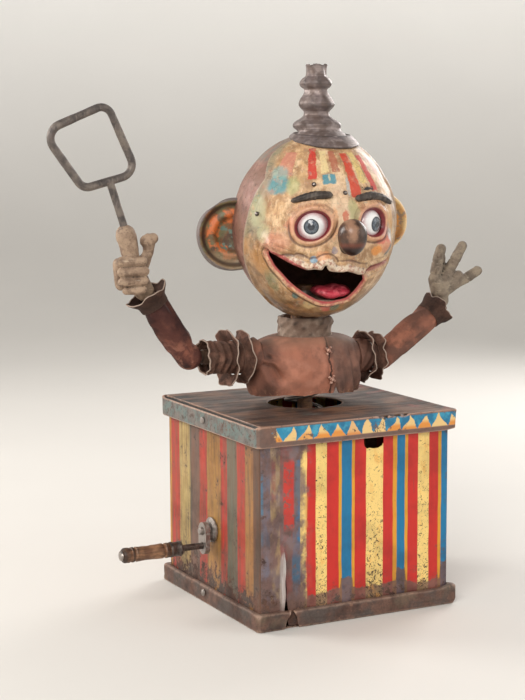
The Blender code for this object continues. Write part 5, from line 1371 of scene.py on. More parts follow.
def tongue(finish):
    root = on_head(np.array(3.0), np.array(-53.0)) * 0.985
    back = np.array((4.0, -14.0, -42.0))
    t = np.linspace(0, 1, 26)
    path = back + (root - back) * t[:, None]
    path[:, 2] += 3.0 * np.sin(math.pi * t * 0.8)
    radii = 9.5 * np.sqrt(np.clip(1 - (np.clip(t - 0.72, 0, 1) / 0.29) ** 2, 0.0, 1)) + 0.1
    points, faces = tube(path, radii, 36)
    middle = np.interp(points[:, 1], path[::-1, 1], path[::-1, 2])
    points[:, 2] = middle + (points[:, 2] - middle) * 0.42 - 1.3 * np.exp(-(points[:, 0] - 0.5) ** 2 / 8.0)
    points[:, 0] *= 1.25
    points += (rough(points, 4, 221) * 0.5)[:, None] * np.array((0, 0, 1.0))
    return piece("tongue_carved", head_place(points), faces, finish, "head", ["tongue"], sharp=80)


def tongue_paint():
    p = Paint("tongue_paint", roughness=0.42, coat=0.1)
    colour = p.blotch([tone(186, 52, 70), tone(214, 98, 108), tone(140, 26, 44)], 4, seed=223)
    fine = p.noise(1.3, detail=6, roughness=0.7, seed=225)
    colour = p.mix(p.ramp(fine, 0.58, 0.70) * 0.5, colour, tone(232, 160, 150))
    return p.finish(colour, roughness=0.34 + 0.25 * fine, height=0.12 * fine)


def hat(finish):
    """A spun finial with a thin flared foot, dented, its top edge broken."""
    top = cad_range("hat", 2)[1]
    z = HEAD[2]

    def crown(radius):
        return z + (HEAD_R[2] + 0.8) * math.sqrt(1 - (radius / (HEAD_R[0] + 0.8)) ** 2)

    outline = [(22.6, crown(22.6) + 0.1), (22.8, crown(22.6) + 0.8), (21.6, crown(21.6) + 1.5), (20.0, crown(20) + 2.0),
               (18.4, crown(18.4) + 2.4), (16.6, 311.0), (14.6, 312.8), (14.6, 314.2), (15.6, 315.8),
               (15.5, 317.8), (14.0, 319.4), (11.4, 321.0), (9.0, 322.9), (8.3, 324.6), (8.7, 326.2), (10.4, 327.8),
               (11.6, 329.6), (11.6, 331.4), (10.4, 334.0), (8.4, 336.6), (7.4, 338.8), (7.5, 340.2), (9.4, 341.6),
               (10.5, 343.4), (10.3, 345.2), (8.8, 347.2), (7.0, 348.6), (6.6, 350.0), (6.6, 352.6), (6.8, 354.6),
               (7.1, 355.8), (6.9, top - 0.4), (6.0, top - 0.1)]
    outside = rounded(np.array(outline), closed=False, steps=4)
    inside = np.array([(5.2, top - 0.6), (4.4, top - 3.0), (0.001, top - 3.4)])
    foot = np.array([(0.001, crown(0) - 0.4), (12, crown(12) - 0.4), (18, crown(18) - 0.3), (22.0, crown(22.0) - 0.2)])
    profile = np.concatenate([foot, outside, inside])

    def wobble(height, angle):
        dent = 0.35 * np.sin(3 * angle + height * 0.11) + 0.25 * np.sin(7 * angle + height * 0.3)
        return dent * smooth_step(height, 300, 306)

    points, faces = turned(profile, 72, (HEAD[0] + 1.9, HEAD[1] - 1.0, 0.0), wobble=wobble)
    # The foot sits a little forward on the crown and follows it.
    low = smooth_step(points[:, 2], 316, 309)
    before = np.hypot(points[:, 0] - HEAD[0], points[:, 1] - HEAD[1])
    points[:, 0] += 0.4 * low
    points[:, 1] -= 8.6 * low
    after = np.hypot(points[:, 0] - HEAD[0], points[:, 1] - HEAD[1])
    points[:, 2] += low * np.array([crown(b) - crown(a) for a, b in zip(before, after)])
    lift = smooth_step(points[:, 2], top - 2.2, top)
    angle = np.arctan2(points[:, 1] - HEAD[1], points[:, 0] - HEAD[0])
    teeth = 0.5 + 0.5 * np.sign(np.sin(5 * angle + 0.8))
    points[:, 2] -= lift * (0.7 * teeth + 0.3 + 0.3 * rough(points, 1.5, 231))
    return piece("hat_spun", points, faces, finish, "head", ["hat"], sharp=45)


def grey_metal():
    p = Paint("grey_metal", roughness=0.42, metallic=0.35)
    colour = p.blotch([tone(128, 114, 112), tone(104, 92, 90), tone(150, 136, 132), tone(112, 96, 90)], 6, seed=241)
    rings = p.noise(0.8, detail=3, stretch=(30, 30, 1), seed=243)
    colour = p.dim(colour, p.ramp(rings, 0.45, 0.7) * 0.3)
    rub = p.pointiness(0.505, 0.55) * p.ramp(p.noise(2.4, detail=6, roughness=0.7, seed=244), 0.3, 0.6)
    colour = p.mix(rub * 0.7, colour, tone(184, 170, 166))
    # Painted shade in the hat's crevices.
    crevice_shade = p.pointiness(0.495, 0.46)
    colour = p.mix(crevice_shade * 0.7, colour, tone(40, 32, 30))
    fine = p.noise(1.2, detail=6, roughness=0.7, seed=245)
    return p.finish(colour, roughness=0.32 + 0.25 * fine, metallic=0.3 + 0.4 * rub, height=0.08 * fine + 0.05 * rings)


def nail_heads(finish):
    """Small round heads that pin the mask's forehead."""
    for k, (azimuth, elevation) in enumerate(((-19.8, 30.4), (3.0, 24.3), (-62.0, 10.0))):
        ray = head_ray(np.array(azimuth), np.array(elevation))
        centre = head_place(on_head(np.array(azimuth), np.array(elevation), 0.6))
        profile = [(0.001, -1.5), (1.3, -1.0), (1.5, 0.1), (1.2, 0.7), (0.6, 1.0), (0.001, 1.05)]
        points, faces = turned(profile, 20, centre, head_place(ray) - HEAD)
        piece(f"mask_nail_{k + 1}", points, faces, finish, "head")


def steel(name="steel", dark=0.0):
    p = Paint(name, roughness=0.45, metallic=0.8)
    colour = p.blotch([tone(92, 84, 80), tone(66, 58, 54), tone(118, 110, 104)], 5, seed=251)
    rust = p.ramp(p.noise(3, detail=7, roughness=0.7, seed=253), 0.50, 0.62)
    colour = p.mix(rust * 0.8, colour, tone(78, 50, 38))
    if dark:
        colour = p.dim(colour, dark + 0.0 * rust)
    rub = p.pointiness(0.51, 0.56)
    colour = p.mix(rub * 0.6, colour, tone(176, 168, 162))
    fine = p.noise(1.0, detail=5, seed=255)
    return p.finish(colour, roughness=0.34 + 0.35 * rust, metallic=0.85 - 0.6 * rust, height=0.06 * fine + 0.06 * rust)


def build_head():
    measure_face(face_mask(face_paint()))
    skull(skull_paint())
    eye("right", eye_paint("right", (-5.0, -2.5)))
    eye("left", eye_paint("left", (8.0, -6.5)))
    dark = dark_wood("brow_paint", [tone(52, 42, 36), tone(34, 28, 25), tone(86, 76, 68)], 261, roughness=0.6)
    for side in ("right", "left"):
        brow(side, dark)
        ear(side, ear_paint(side))
    nose(nose_paint())
    tongue(tongue_paint())
    hat(grey_metal())
    nail_heads(steel("nail_steel"))


# ------------------------------------------------------------------ figure

SIGN = {"right": -1.0, "left": 1.0}
SHOULDER_X = 48.0
SHOULDER_Z = {"right": 165.0, "left": 160.0}
ELBOW = {"right": np.array((-86.0, 0.0, 168.0)), "left": np.array((60.0, 0.0, 158.0))}
WRIST = {"right": np.array((-112.0, 0.0, 206.0)), "left": np.array((103.0, 0.0, 188.0))}
SLEEVE_START = 49.4
SPRING_TURNS = 8
SLEEVE_END = {"right": 76.0, "left": 53.5}
CLOTH = 0.7
TORSO = [                       # height, half width, half depth, sideways shift
    (139.5, 39.5, 27.0, -1.5), (147.0, 41.4, 28.0, -1.5), (157.0, 42.2, 27.5, -1.5), (166.0, 41.6, 25.0, -1.5),
    (172.5, 37.5, 22.8, -1.0), (176.4, 28.5, 20.5, -0.5), (177.6, 19.6, 19.0, 0.0), (177.0, 18.4, 18.4, 0.0),
]
SEAM_X = 4.5


def mark(made, name, values):
    """Keeps one number for each of a piece's points, for its paint to read."""
    layer = made.data.attributes.new(name, "FLOAT", "POINT")
    layer.data.foreach_set("value", np.asarray(values, np.float32).ravel())
    return made


def torso(finish):
    """The tunic's body: an oval shell with a rounded chest, folds at both arms, a seam and a torn wavy hem."""
    around = 220
    rows = rounded(np.array(TORSO), closed=False, steps=9)
    angle = np.arange(around) * math.tau / around
    across, deep, shift = rows[:, 1:2], rows[:, 2:3], rows[:, 3:4]
    facing = np.stack([np.cos(angle) + 0 * across, np.sin(angle) + 0 * across, 0 * angle + 0 * across], -1)
    x = shift + across * np.cos(angle)
    y = deep * np.sin(angle)
    z = rows[:, 0:1] + 0 * x
    points = np.stack([x, y, z], -1)
    front = smooth_step(-np.sin(angle), -0.1, 0.25)[None, :]
    below = smooth_step(z, 177, 170)
    relief = (rough(points, 24, 301) * 1.1 + rough(points, 9, 302) * 0.45).reshape(x.shape)
    drift = rough(points, 12, 303).reshape(x.shape)
    pleats = 1.5 * np.sin((x * 0.86 + (z - 150) * 0.16 + 2.2 * drift) * 0.78)
    relief += pleats * smooth_step(x, 12, 26) * smooth_step(z, 174, 160) * (0.55 + 0.45 * front)
    turn = np.degrees(np.arctan2(z - 168, x + 46))
    armpit = 1.7 * np.sin(np.radians(turn * 11) + 1.5 * drift) * smooth_step(x, -18, -31)
    relief += armpit * smooth_step(z, 170, 160)
    relief -= 1.5 * bump(x + 0.35 * (z - 160), -33.5, 3.2) * smooth_step(z, 174, 164) * front
    relief += 1.3 * bump(x, -14, 15) * bump(z, 158, 16) * front
    relief *= 1 - 0.85 * smooth_step(np.abs(x + 1.5), 34, 40)
    seam = SEAM_X + 0.8 * np.sin(z * 0.31)
    relief -= (1.1 * bump(x, seam, 1.3) - 0.5 * bump(x, seam + 2.4, 1.8)) * front * below
    points += facing * (relief * below)[..., None]
    hem = smooth_step(z, 151, 139.5)
    wave = 1.0 + 1.2 * np.sin(angle * 3 + 0.9)[None, :] + 4.6 * bump(x, 9.0, 2.6) * front
    wave = wave - 1.4 * bump(x, -14, 14) * front + 0.45 * rough(points, 2.2, 305).reshape(x.shape)
    points[..., 2] += np.maximum(wave, -0.4) * hem
    faces = [list(f) for f in grid(len(rows), around, close_columns=True)]
    shell = piece("tunic_body", points, faces, finish, "figure", ["torso_shell"], sharp=60)
    thicken(shell, 1.3)
    arm_holes = []
    for side, sign in SIGN.items():
        bar = [(0.001, 36), (6.6, 36), (6.6, 62), (0.001, 62)]
        arm_holes.append(turned(bar, 28, (0, 0, SHOULDER_Z[side]), (sign, 0, 0)))
    return cut(shell, *arm_holes)


def armholes(finish):
    """The tunic's short stubs of sleeve, which the arms turn in."""
    shapes = []
    for side, sign in SIGN.items():
        profile = [(7.4, 39.0), (7.4, 47.6), (8.2, 48.9), (9.6, 49.0), (10.9, 48.2), (11.3, 46.0), (11.9, 42.0), (12.6, 38.0),
                   (11.0, 37.4), (8.2, 37.8)]

        def wobble(height, angle):
            return 0.35 * np.sin(7 * angle + height) * smooth_step(height, 48.5, 46)

        points, _ = turned(rounded(np.array(profile), steps=4), 72, (0, 0, SHOULDER_Z[side]), (sign, 0, 0), wobble)
        faces = grid(len(points) // 72, 72, close_rows=True, close_columns=True)
        shapes.append((points, [list(f)[::-1] for f in faces]))
    points, faces = joined(*shapes)
    return piece("tunic_armholes", points, faces, finish, "figure", sharp=60)


def collar(finish):
    """A soft stand-up collar, folded over at its top edge."""
    profile = [(16.3, 172.8), (17.9, 172.9), (18.9, 175.0), (18.3, 178.6), (17.6, 181.4), (18.2, 184.2), (18.7, 186.6),
               (18.2, 188.9), (17.2, 190.1), (16.3, 189.6), (16.0, 187.5), (16.0, 180.0)]

    def wobble(height, angle):
        wrinkle = 0.5 * np.sin(7 * angle + height * 0.5) + 0.35 * np.sin(13 * angle - height * 0.8)
        return wrinkle * smooth_step(height, 172, 178)

    points, faces = turned(rounded(np.array(profile), steps=5), 110, wobble=wobble)
    count = len(points) // 110
    faces = [list(f) for f in grid(count, 110, close_rows=True, close_columns=True)]
    points += (rough(points, 4, 311) * 0.35)[:, None] * np.array((1.0, 1.0, 0.2))
    points[:, 2] = np.minimum(points[:, 2], 190.3)
    return piece("collar_soft", points, [f[::-1] for f in faces], finish, "figure", ["neck_collar"], sharp=60)


def beads(finish):
    """Clusters of small beads sewn down the seam, in place of buttons."""
    for name, z, depth in (("upper", 169.0, 24.2), ("lower", 150.5, 28.9)):
        shapes = []
        for k, (dx, dz, radius) in enumerate(((0, 0, 1.5), (-1.9, 1.3, 0.9), (1.5, 1.9, 0.8), (-0.7, -2.3, 1.0), (1.9, -1.2, 0.8))):
            profile = [(0.001, -0.9), (radius * 0.86, -0.7), (radius, 0.0), (radius * 0.86, radius * 0.55),
                       (radius * 0.45, radius * 0.9), (0.001, radius * 0.82)]
            centre = (SEAM_X + dx, -depth - 0.35 - 0.1 * (k == 0), z + dz)
            shapes.append(turned(rounded(np.array(profile), closed=False, steps=3), 16, centre, (0.1 * dx, -1, 0.1 * dz)))
        points, faces = joined(*shapes)
        piece(f"beads_{name}", points, faces, finish, "figure", [f"button_{name}"], sharp=70)


def arm_place(side):
    """The sleeve's middle line: along X from the shoulder, climbing towards the elbow."""
    rise = ELBOW[side][2] - SHOULDER_Z[side]
    length = abs(ELBOW[side][0]) - SHOULDER_X
    return lambda reach: SHOULDER_Z[side] + rise / length * 0.8 * (reach - SLEEVE_START)


def sleeve(side, finish):
    """The cloth tube on the upper arm, ringed with folds, its end open and frayed."""
    sign, start, end = SIGN[side], SLEEVE_START + 0.2, SLEEVE_END[side] + 0.4
    middle = arm_place(side)
    rows = np.linspace(0, 1, 44 if side == "right" else 14)
    angle = np.arange(96) * math.tau / 96
    reach = start + (end - start) * rows[:, None] + 0 * angle
    flare = 0.9 * smooth_step(rows[:, None], 0.72, 1.0)
    drift = np.stack([np.cos(angle) * 8 + 0 * reach, np.sin(angle) * 8 + 0 * reach, reach], -1)
    fold = rough(drift, 5.5, 321).reshape(reach.shape) * 0.7
    fold += 0.45 * np.sin(reach * 1.25 + 1.4 * np.sin(angle) + 2 * rough(drift, 9, 322).reshape(reach.shape))
    fold += 0.35 * np.sin(6 * angle + reach * 0.22)
    radius = 10.6 + flare + fold * smooth_step(rows[:, None], 0.0, 0.15)
    lower = np.clip(-np.sin(angle), 0, 1) ** 2
    tatter = (0.8 * np.sin(5 * angle) + 0.6 * np.sin(11 * angle + 1)) * 0.7 - 1.6 * lower
    reach = reach + tatter[None, :] * smooth_step(rows[:, None], 0.75, 1.0) * (1.0 if side == "right" else 0.2)
    up = middle(reach)
    points = np.stack([sign * reach, radius * np.cos(angle), up + radius * np.sin(angle)], -1)
    faces = [list(f) for f in grid(len(rows), len(angle), close_columns=True)]
    if sign > 0:
        faces = [f[::-1] for f in faces]
    made = piece(f"sleeve_{side}_cloth", points, faces, finish, f"upper_arm_{side}", [f"sleeve_{side}"],
                 sharp=60)
    mark(made, "rim", np.repeat(smooth_step(rows, 0.93, 1.0), len(angle)))
    thicken(made, CLOTH, 1.0)
    return made


def flounce(name, side, root, tip, radius, waves, finish, seed, replaces=()):
    """A strip of cloth gathered into a standing ring round the sleeve, scalloped along its free edge."""
    sign = SIGN[side]
    middle = arm_place(side)
    rows = np.linspace(0, 1, 20)[:, None]
    angle = np.arange(144) * math.tau / 144
    ripple = np.sin(waves * angle + seed) + 0.45 * np.sin((2 * waves + 1) * angle + 2.1 * seed)
    reach = 11.6 + (radius - 11.6) * rows + 0.55 * ripple * rows ** 1.5
    out = root + (tip - root) * (1 - (1 - rows) ** 1.7) + 1.15 * ripple * rows ** 1.6
    out = out + 0.5 * np.sin(3 * angle + 1.7 * seed) * rows
    points = np.stack([sign * out, reach * np.cos(angle), middle(root) + reach * np.sin(angle)], -1)
    faces = [list(f) for f in grid(len(rows), len(angle), close_columns=True)]
    if sign > 0:
        faces = [f[::-1] for f in faces]
    made = piece(name, points, faces, finish, f"upper_arm_{side}", replaces, sharp=60)
    mark(made, "rim", np.repeat(smooth_step(rows, 0.88, 0.98), len(angle)))
    thicken(made, CLOTH, 0.0)
    return made


def forearm(side, finish):
    """The tunic's lower sleeve, stiffened round the arm, with a rounded elbow slotted for the upper arm's eye."""
    elbow, wrist = ELBOW[side], WRIST[side]
    length = float(np.linalg.norm(wrist - elbow))
    ahead = (wrist - elbow) / length
    across = np.array((0.0, 1.0, 0.0))
    up = np.cross(across, ahead)
    ball = 8.6
    profile = [(0.001, -ball)]
    for k in range(1, 12):
        a = math.radians(-90 + 90 * k / 12)
        profile.append((ball * math.cos(a), ball * math.sin(a)))
    profile += [(ball, 0.0)]
    for k in range(1, 41):
        share = k / 40
        profile.append((ball + 0.6 * math.sin(math.pi * share) - 0.3 * share, length * share))
    profile += [(0.001, length)]
    profile = np.array(profile)
    angle = np.arange(80) * math.tau / 80
    radius = np.repeat(profile[:, :1], len(angle), 1)
    height = np.repeat(profile[:, 1:2], len(angle), 1)
    sample = np.stack([np.cos(angle) * 9 + 0 * height, np.sin(angle) * 9 + 0 * height, height * 0.55], -1)
    seed = 331 if side == "right" else 337
    fold = rough(sample, 6.5, seed).reshape(height.shape) * 0.9 + rough(sample, 3.2, seed + 1).reshape(height.shape) * 0.35
    fold += 0.5 * np.sin(5 * angle + height * 0.12 + 2 * rough(sample, 12, seed + 2).reshape(height.shape))
    share = smooth_step(height, 7.5, 13.0) * smooth_step(height, length, length - 2)
    radius = np.where(radius > 0.01, radius + fold * share, radius)
    if side == "right":          # flattened in the crook of the elbow, where the upper arm comes when the arm closes
        radius = np.maximum(radius - 1.9 * np.clip(np.sin(angle), 0, 1) ** 0.5 * bump(height, 6.5, 5.0), 0.001)
    side_way, up_way = np.cos(angle), np.sin(angle)
    points = (elbow + ahead * height[..., None] + (radius * side_way)[..., None] * across
              + (radius * up_way)[..., None] * up)
    faces = [list(f) for f in grid(len(profile), len(angle), close_columns=True)]
    made = piece(f"forearm_{side}_cloth", points, faces, finish, f"forearm_{side}", [f"forearm_{side}"], sharp=60)
    corners = [(-12, -12), (6.6, -12), (6.6, 12), (-12, 12)]
    box = np.array([elbow + ahead * u + up * v + across * y for y in (-2.6, 2.6) for u, v in corners])
    sides = [[0, 1, 2, 3], [7, 6, 5, 4]] + [[k, 4 + k, 4 + (k + 1) % 4, (k + 1) % 4] for k in range(4)]
    bore = turned([(0.001, -3), (3.1, -3), (3.1, 12), (0.001, 12)], 24, wrist, -ahead)
    return cut(made, (box, sides), bore)


def cuff(side, finish):
    """A stiff cloth cuff that flares past the wrist in a few wide lobes."""
    elbow, wrist = ELBOW[side], WRIST[side]
    ahead = (wrist - elbow) / np.linalg.norm(wrist - elbow)
    across = np.array((0.0, 1.0, 0.0))
    up = np.cross(across, ahead)
    rows = np.linspace(0, 1, 24)[:, None]
    angle = np.arange(120) * math.tau / 120
    lobes = 4 if side == "right" else 5
    ripple = np.sin(lobes * angle + (0.6 if side == "right" else 2.0)) + 0.35 * np.sin((2 * lobes + 1) * angle + 1.0)
    height = (-4.2 if side == "right" else -6.4) + 10.6 * rows + (1.1 * ripple + 0.5 * np.sin(2 * angle + 1)) * smooth_step(rows, 0.45, 1.0)
    flare, wave = (3.6, 0.75) if side == "right" else (1.9, 0.5)
    radius = 9.3 + 0.9 * rows + flare * smooth_step(rows, 0.3, 1.0) + wave * ripple * smooth_step(rows, 0.4, 1.0)
    points = (wrist + ahead * height[..., None] + (radius * np.cos(angle))[..., None] * across
              + (radius * np.sin(angle))[..., None] * up)
    faces = [list(f) for f in grid(len(rows), len(angle), close_columns=True)]
    made = piece(f"cuff_{side}_cloth", points, faces, finish, f"forearm_{side}", [f"cuff_{side}"], sharp=60)
    mark(made, "rim", np.repeat(smooth_step(rows, 0.9, 0.99), len(angle)))
    thicken(made, CLOTH, 0.0)
    return made


def capsule(start, end, r0, r1):
    """A closed rod with round ends."""
    start, end = np.array(start, float), np.array(end, float)
    run = np.linalg.norm(end - start)
    profile = [(0.001, -r0)] + [(r0 * math.cos(math.radians(a)), r0 * math.sin(math.radians(a))) for a in (-67, -45, -22)]
    profile += [(r0, 0), (r1, run)]
    profile += [(r1 * math.cos(math.radians(a)), run + r1 * math.sin(math.radians(a))) for a in (22, 45, 67)] + [(0.001, run + r1)]
    return turned(profile, 20, start, tuple((end - start) / run))


# The closed hand and the open one as rods with round ends: start, end, radius at each.
FIST = [
    ((-116.5, 0, 212.0), (-120.5, 1, 218), 6.4, 7.6), ((-122.5, 2.0, 219), (-124.5, 3, 230), 7.6, 7.4),
    ((-134.4, -5.2, 232.0), (-121.6, -8.8, 232.4), 3.4, 3.4), ((-134.8, -6.2, 225.4), (-120.4, -10.0, 226.0), 2.9, 3.0),
    ((-134.6, -6.4, 219.2), (-120.6, -9.8, 219.8), 2.8, 2.9), ((-131.8, -5.6, 213.5), (-121.4, -8.8, 214.0), 2.5, 2.7),
    ((-133.4, 1.4, 230), (-131.8, 2.4, 217), 4.2, 3.8), ((-126.0, -1, 234), (-128.8, -1, 247.5), 5.4, 6.5),
    ((-129.4, -1, 247.6), (-129.4, -1, 249.0), 6.6, 6.4), ((-120, -1, 226), (-114.6, -2, 237), 5.0, 3.4),
    ((-114.6, -2, 237), (-114.4, -2.6, 245.0), 3.4, 4.4), ((-116.0, -2.4, 244.4), (-111.6, -2.8, 246.0), 4.2, 3.6),
]
OPEN_HAND = [
    ((109.6, 0, 195.0), (108, 0, 202), 4.8, 6.0), ((106.6, 0, 201.0), (104.2, 0, 210), 5.4, 5.2),
    ((108.5, 0, 201), (112, 0, 211), 6.4, 5.6), ((110.5, 0, 202), (120.5, -1, 207.4), 5.4, 4.6),
    ((103.8, 0, 211), (105.4, -0.6, 222), 4.3, 3.9), ((105.4, -0.6, 222), (107.6, -1.2, 231.2), 3.9, 3.6),
    ((113.0, 0, 212), (119.6, -0.6, 222.8), 4.3, 3.8), ((119.6, -0.6, 222.8), (125.2, -1.4, 232.6), 3.8, 3.5),
    ((120, -1, 207), (129.6, -1.4, 210.2), 4.4, 3.7), ((129.6, -1.4, 210.2), (137.6, -2.2, 214.6), 3.7, 3.5),
    ((108.8, 2.6, 212), (111.4, 4.4, 225), 3.8, 3.2), ((111.0, 0, 206.5), (122.0, -1, 211.6), 5.4, 4.0),
]


def hand(side, rods, finish):
    """A carved hand: rods melted into one skin, with creases at the joints."""
    wrist, elbow = WRIST[side], ELBOW[side]
    ahead = (wrist - elbow) / np.linalg.norm(wrist - elbow)
    peg = tube([wrist - ahead * 10.8, wrist + ahead * 0.4, wrist + ahead * 1.4, wrist + ahead * 8.0],
               [2.8, 2.8, 4.6, 5.4], 24)
    points, faces = joined(*[capsule(*rod) for rod in rods], peg)
    made = piece(f"hand_{side}_carved", points, faces, finish, f"hand_{side}", [f"hand_{side}"], sharp=80)
    melt = made.modifiers.new("melt", "REMESH")
    melt.mode = "VOXEL"
    melt.voxel_size = 0.6 * MM
    soft = made.modifiers.new("soft", "SMOOTH")
    soft.factor = 0.5
    soft.iterations = 2
    settle(made)
    mesh = made.data
    place = np.empty(len(mesh.vertices) * 3)
    mesh.vertices.foreach_get("co", place)
    place = place.reshape(-1, 3) / MM
    normal = np.empty(len(mesh.vertices) * 3)
    mesh.vertex_normals.foreach_get("vector", normal)
    normal = normal.reshape(-1, 3)
    beyond = smooth_step((place - wrist) @ ahead, 5, 9)
    lumps = rough(place, 5, 341) * 0.30 + rough(place, 1.8, 342) * 0.10
    if side == "left":
        for at, toward, deep in (((105.6, 221.5), (0.22, 0.97), 0.5), ((119.4, 222.4), (0.52, 0.85), 0.5),
                                 ((129.4, 210.2), (0.9, 0.42), 0.5), ((104.4, 213.5), (0.1, 1), 0.4),
                                 ((113.6, 213.0), (0.5, 0.86), 0.4)):
            along = (place[:, 0] - at[0]) * toward[0] + (place[:, 2] - at[1]) * toward[1]
            near = np.hypot(place[:, 0] - at[0], place[:, 2] - at[1]) < 6.5
            lumps -= deep * bump(along, 0, 0.9) * near
    place += normal * (lumps * beyond)[:, None]
    mesh.vertices.foreach_set("co", (place * MM).ravel())
    mesh.update()
    mesh.shade_smooth()
    return made


WAND_LOOP = [(-183.0, 313.5), (-157.0, 278.2), (-120.5, 287.5), (-140.2, 330.8)]
WAND_ROUND = [9.0, 7.5, 8.5, 7.5]


def wand(finish):
    """A bent bar loop on a thin rod, a little flattened and uneven."""
    path = []
    count = len(WAND_LOOP)
    for i, corner in enumerate(WAND_LOOP):
        here = np.array(corner)
        ways = []
        for other in (WAND_LOOP[i - 1], WAND_LOOP[(i + 1) % count]):
            way = np.array(other) - here
            ways.append(way / np.linalg.norm(way))
        half = math.acos(float(ways[0] @ ways[1])) / 2
        radius = WAND_ROUND[i]
        middle = (ways[0] + ways[1]) / np.linalg.norm(ways[0] + ways[1])
        centre = here + middle * radius / math.sin(half)
        starts = [here + way * radius / math.tan(half) - centre for way in ways]
        angles = [math.atan2(s[1], s[0]) for s in starts]
        sweep = (angles[1] - angles[0] + math.pi) % math.tau - math.pi
        for k in range(9):
            a = angles[0] + sweep * k / 8
            path.append((centre[0] + radius * math.cos(a), 0.0, centre[1] + radius * math.sin(a)))
    dense = []
    for a, b in zip(path, path[1:] + path[:1]):
        a, b = np.array(a), np.array(b)
        steps = max(1, int(np.linalg.norm(b - a) / 1.5))
        dense += [a + (b - a) * k / steps for k in range(steps)]
    dense = np.array(dense)
    uneven = rough(dense, 16, 351) * 0.25 + rough(dense, 5, 352) * 0.1

    def shape(share, angle):
        flat = -0.35 * np.cos(angle) ** 2 + 0.22 * np.cos(2 * angle)
        return flat + uneven[:, None] - 0.30 * bump(angle, 4.4, 0.5)

    loop = tube(dense, 2.85, 28, shape=shape, closed=True)
    t = np.linspace(0, 1, 40)[:, None]
    rod_path = np.array((-139.6, -0.3, 283.4)) * (1 - t) + np.array((-121.0, -1.5, 224.0)) * t
    rod = tube(rod_path, 2.45 + 0.12 * rough(rod_path, 6, 353), 24)
    points, faces = joined(loop, rod)
    return piece("wand_bar", points, faces, finish, "hand_right", ["wand"], sharp=50)


def crank_handle(finish, metal):
    """The wooden grip with its grooves and rings, and the metal ferrule at its inner end."""
    start, end = -cad_range("crank_grip", 0)[1], -cad_range("crank_grip", 0)[0]
    ferrule_start, ferrule_end = -cad_range("grip_ferrule", 0)[1], -cad_range("grip_ferrule", 0)[0]
    low, high = cad_range("crank_grip", 2)
    centre = (0, 0, (low + high) / 2)
    profile = [(2.3, start), (3.9, start), (4.3, start + 0.4), (4.3, ferrule_end + 0.3), (4.9, ferrule_end + 0.9), (5.0, ferrule_end + 3.0),
               (4.45, ferrule_end + 3.7), (4.45, ferrule_end + 4.6), (5.0, ferrule_end + 5.3), (4.85, start + 18), (4.55, start + 24),
               (4.75, end - 11.5), (4.95, end - 9.6), (4.45, end - 9.0), (4.45, end - 8.2), (5.0, end - 7.6),
               (5.0, end - 6.4), (4.5, end - 5.9), (4.5, end - 5.1), (5.0, end - 4.5), (4.95, end - 1.2),
               (4.3, end - 0.3), (3.2, end - 0.05), (2.3, end - 0.05)]
    profile = np.array(profile)
    fine = [profile[0]]
    for a, b in zip(profile, profile[1:]):
        steps = max(1, int(abs(b[1] - a[1]) / 1.2))
        fine += [a + (b - a) * k / steps for k in range(1, steps + 1)]
    fine.append(profile[0])
    points, faces = turned(np.array(fine), 48, centre, (-1, 0, 0),
                           wobble=lambda height, angle: 0.06 * np.sin(3 * angle + height))
    piece("crank_grip_turned", points, faces, finish, "grip", ["crank_grip"], sharp=40)
    band = [(4.35, ferrule_start), (4.9, ferrule_start + 0.1), (5.15, ferrule_start + 0.5), (5.15, ferrule_start + 1.3), (4.85, ferrule_start + 1.8),
            (4.8, ferrule_end - 2.2), (5.1, ferrule_end - 1.8), (5.1, ferrule_end - 0.6), (4.9, ferrule_end), (4.35, ferrule_end), (4.35, ferrule_start)]
    points, faces = turned(np.array(band), 48, centre, (-1, 0, 0),
                           wobble=lambda height, angle: 0.05 * np.sin(5 * angle + 2 * height) * (height > ferrule_start))
    piece("crank_ferrule_rolled", points, faces, metal, "grip", ["grip_ferrule"], sharp=40)


def weave(p, size=1.1):
    """The over-and-under of woven threads, from 0 to 1."""
    turn = math.tau / size
    one = p.math("SINE", (p.x + p.y * 0.6) * turn)
    two = p.math("SINE", (p.z + p.y * 0.35) * turn)
    return 0.5 + 0.25 * (one + two)


def tunic_cloth(name, base, light, dark, seed):
    """Painted cloth, worn to its lighter ground on the high places, with painted shade in the folds."""
    p = Paint(name, roughness=0.72, specular=0.3)
    colour = p.blotch([base, light, base, dark], 13, seed=seed)
    # Painted shade in the folds.
    folds = p.pointiness(0.495, 0.44)
    high = p.pointiness(0.508, 0.56)
    fine = p.noise(1.8, detail=7, roughness=0.72, seed=seed + 2)
    colour = p.mix(high * 0.45, colour, light)
    colour = p.mix(p.ramp(fine, 0.52, 0.7) * 0.35, colour, dark)
    colour = p.dim(colour, folds * 0.75)
    thread = weave(p)
    colour = p.dim(colour, (1.0 - thread) * 0.12)
    return p, colour, fine, thread


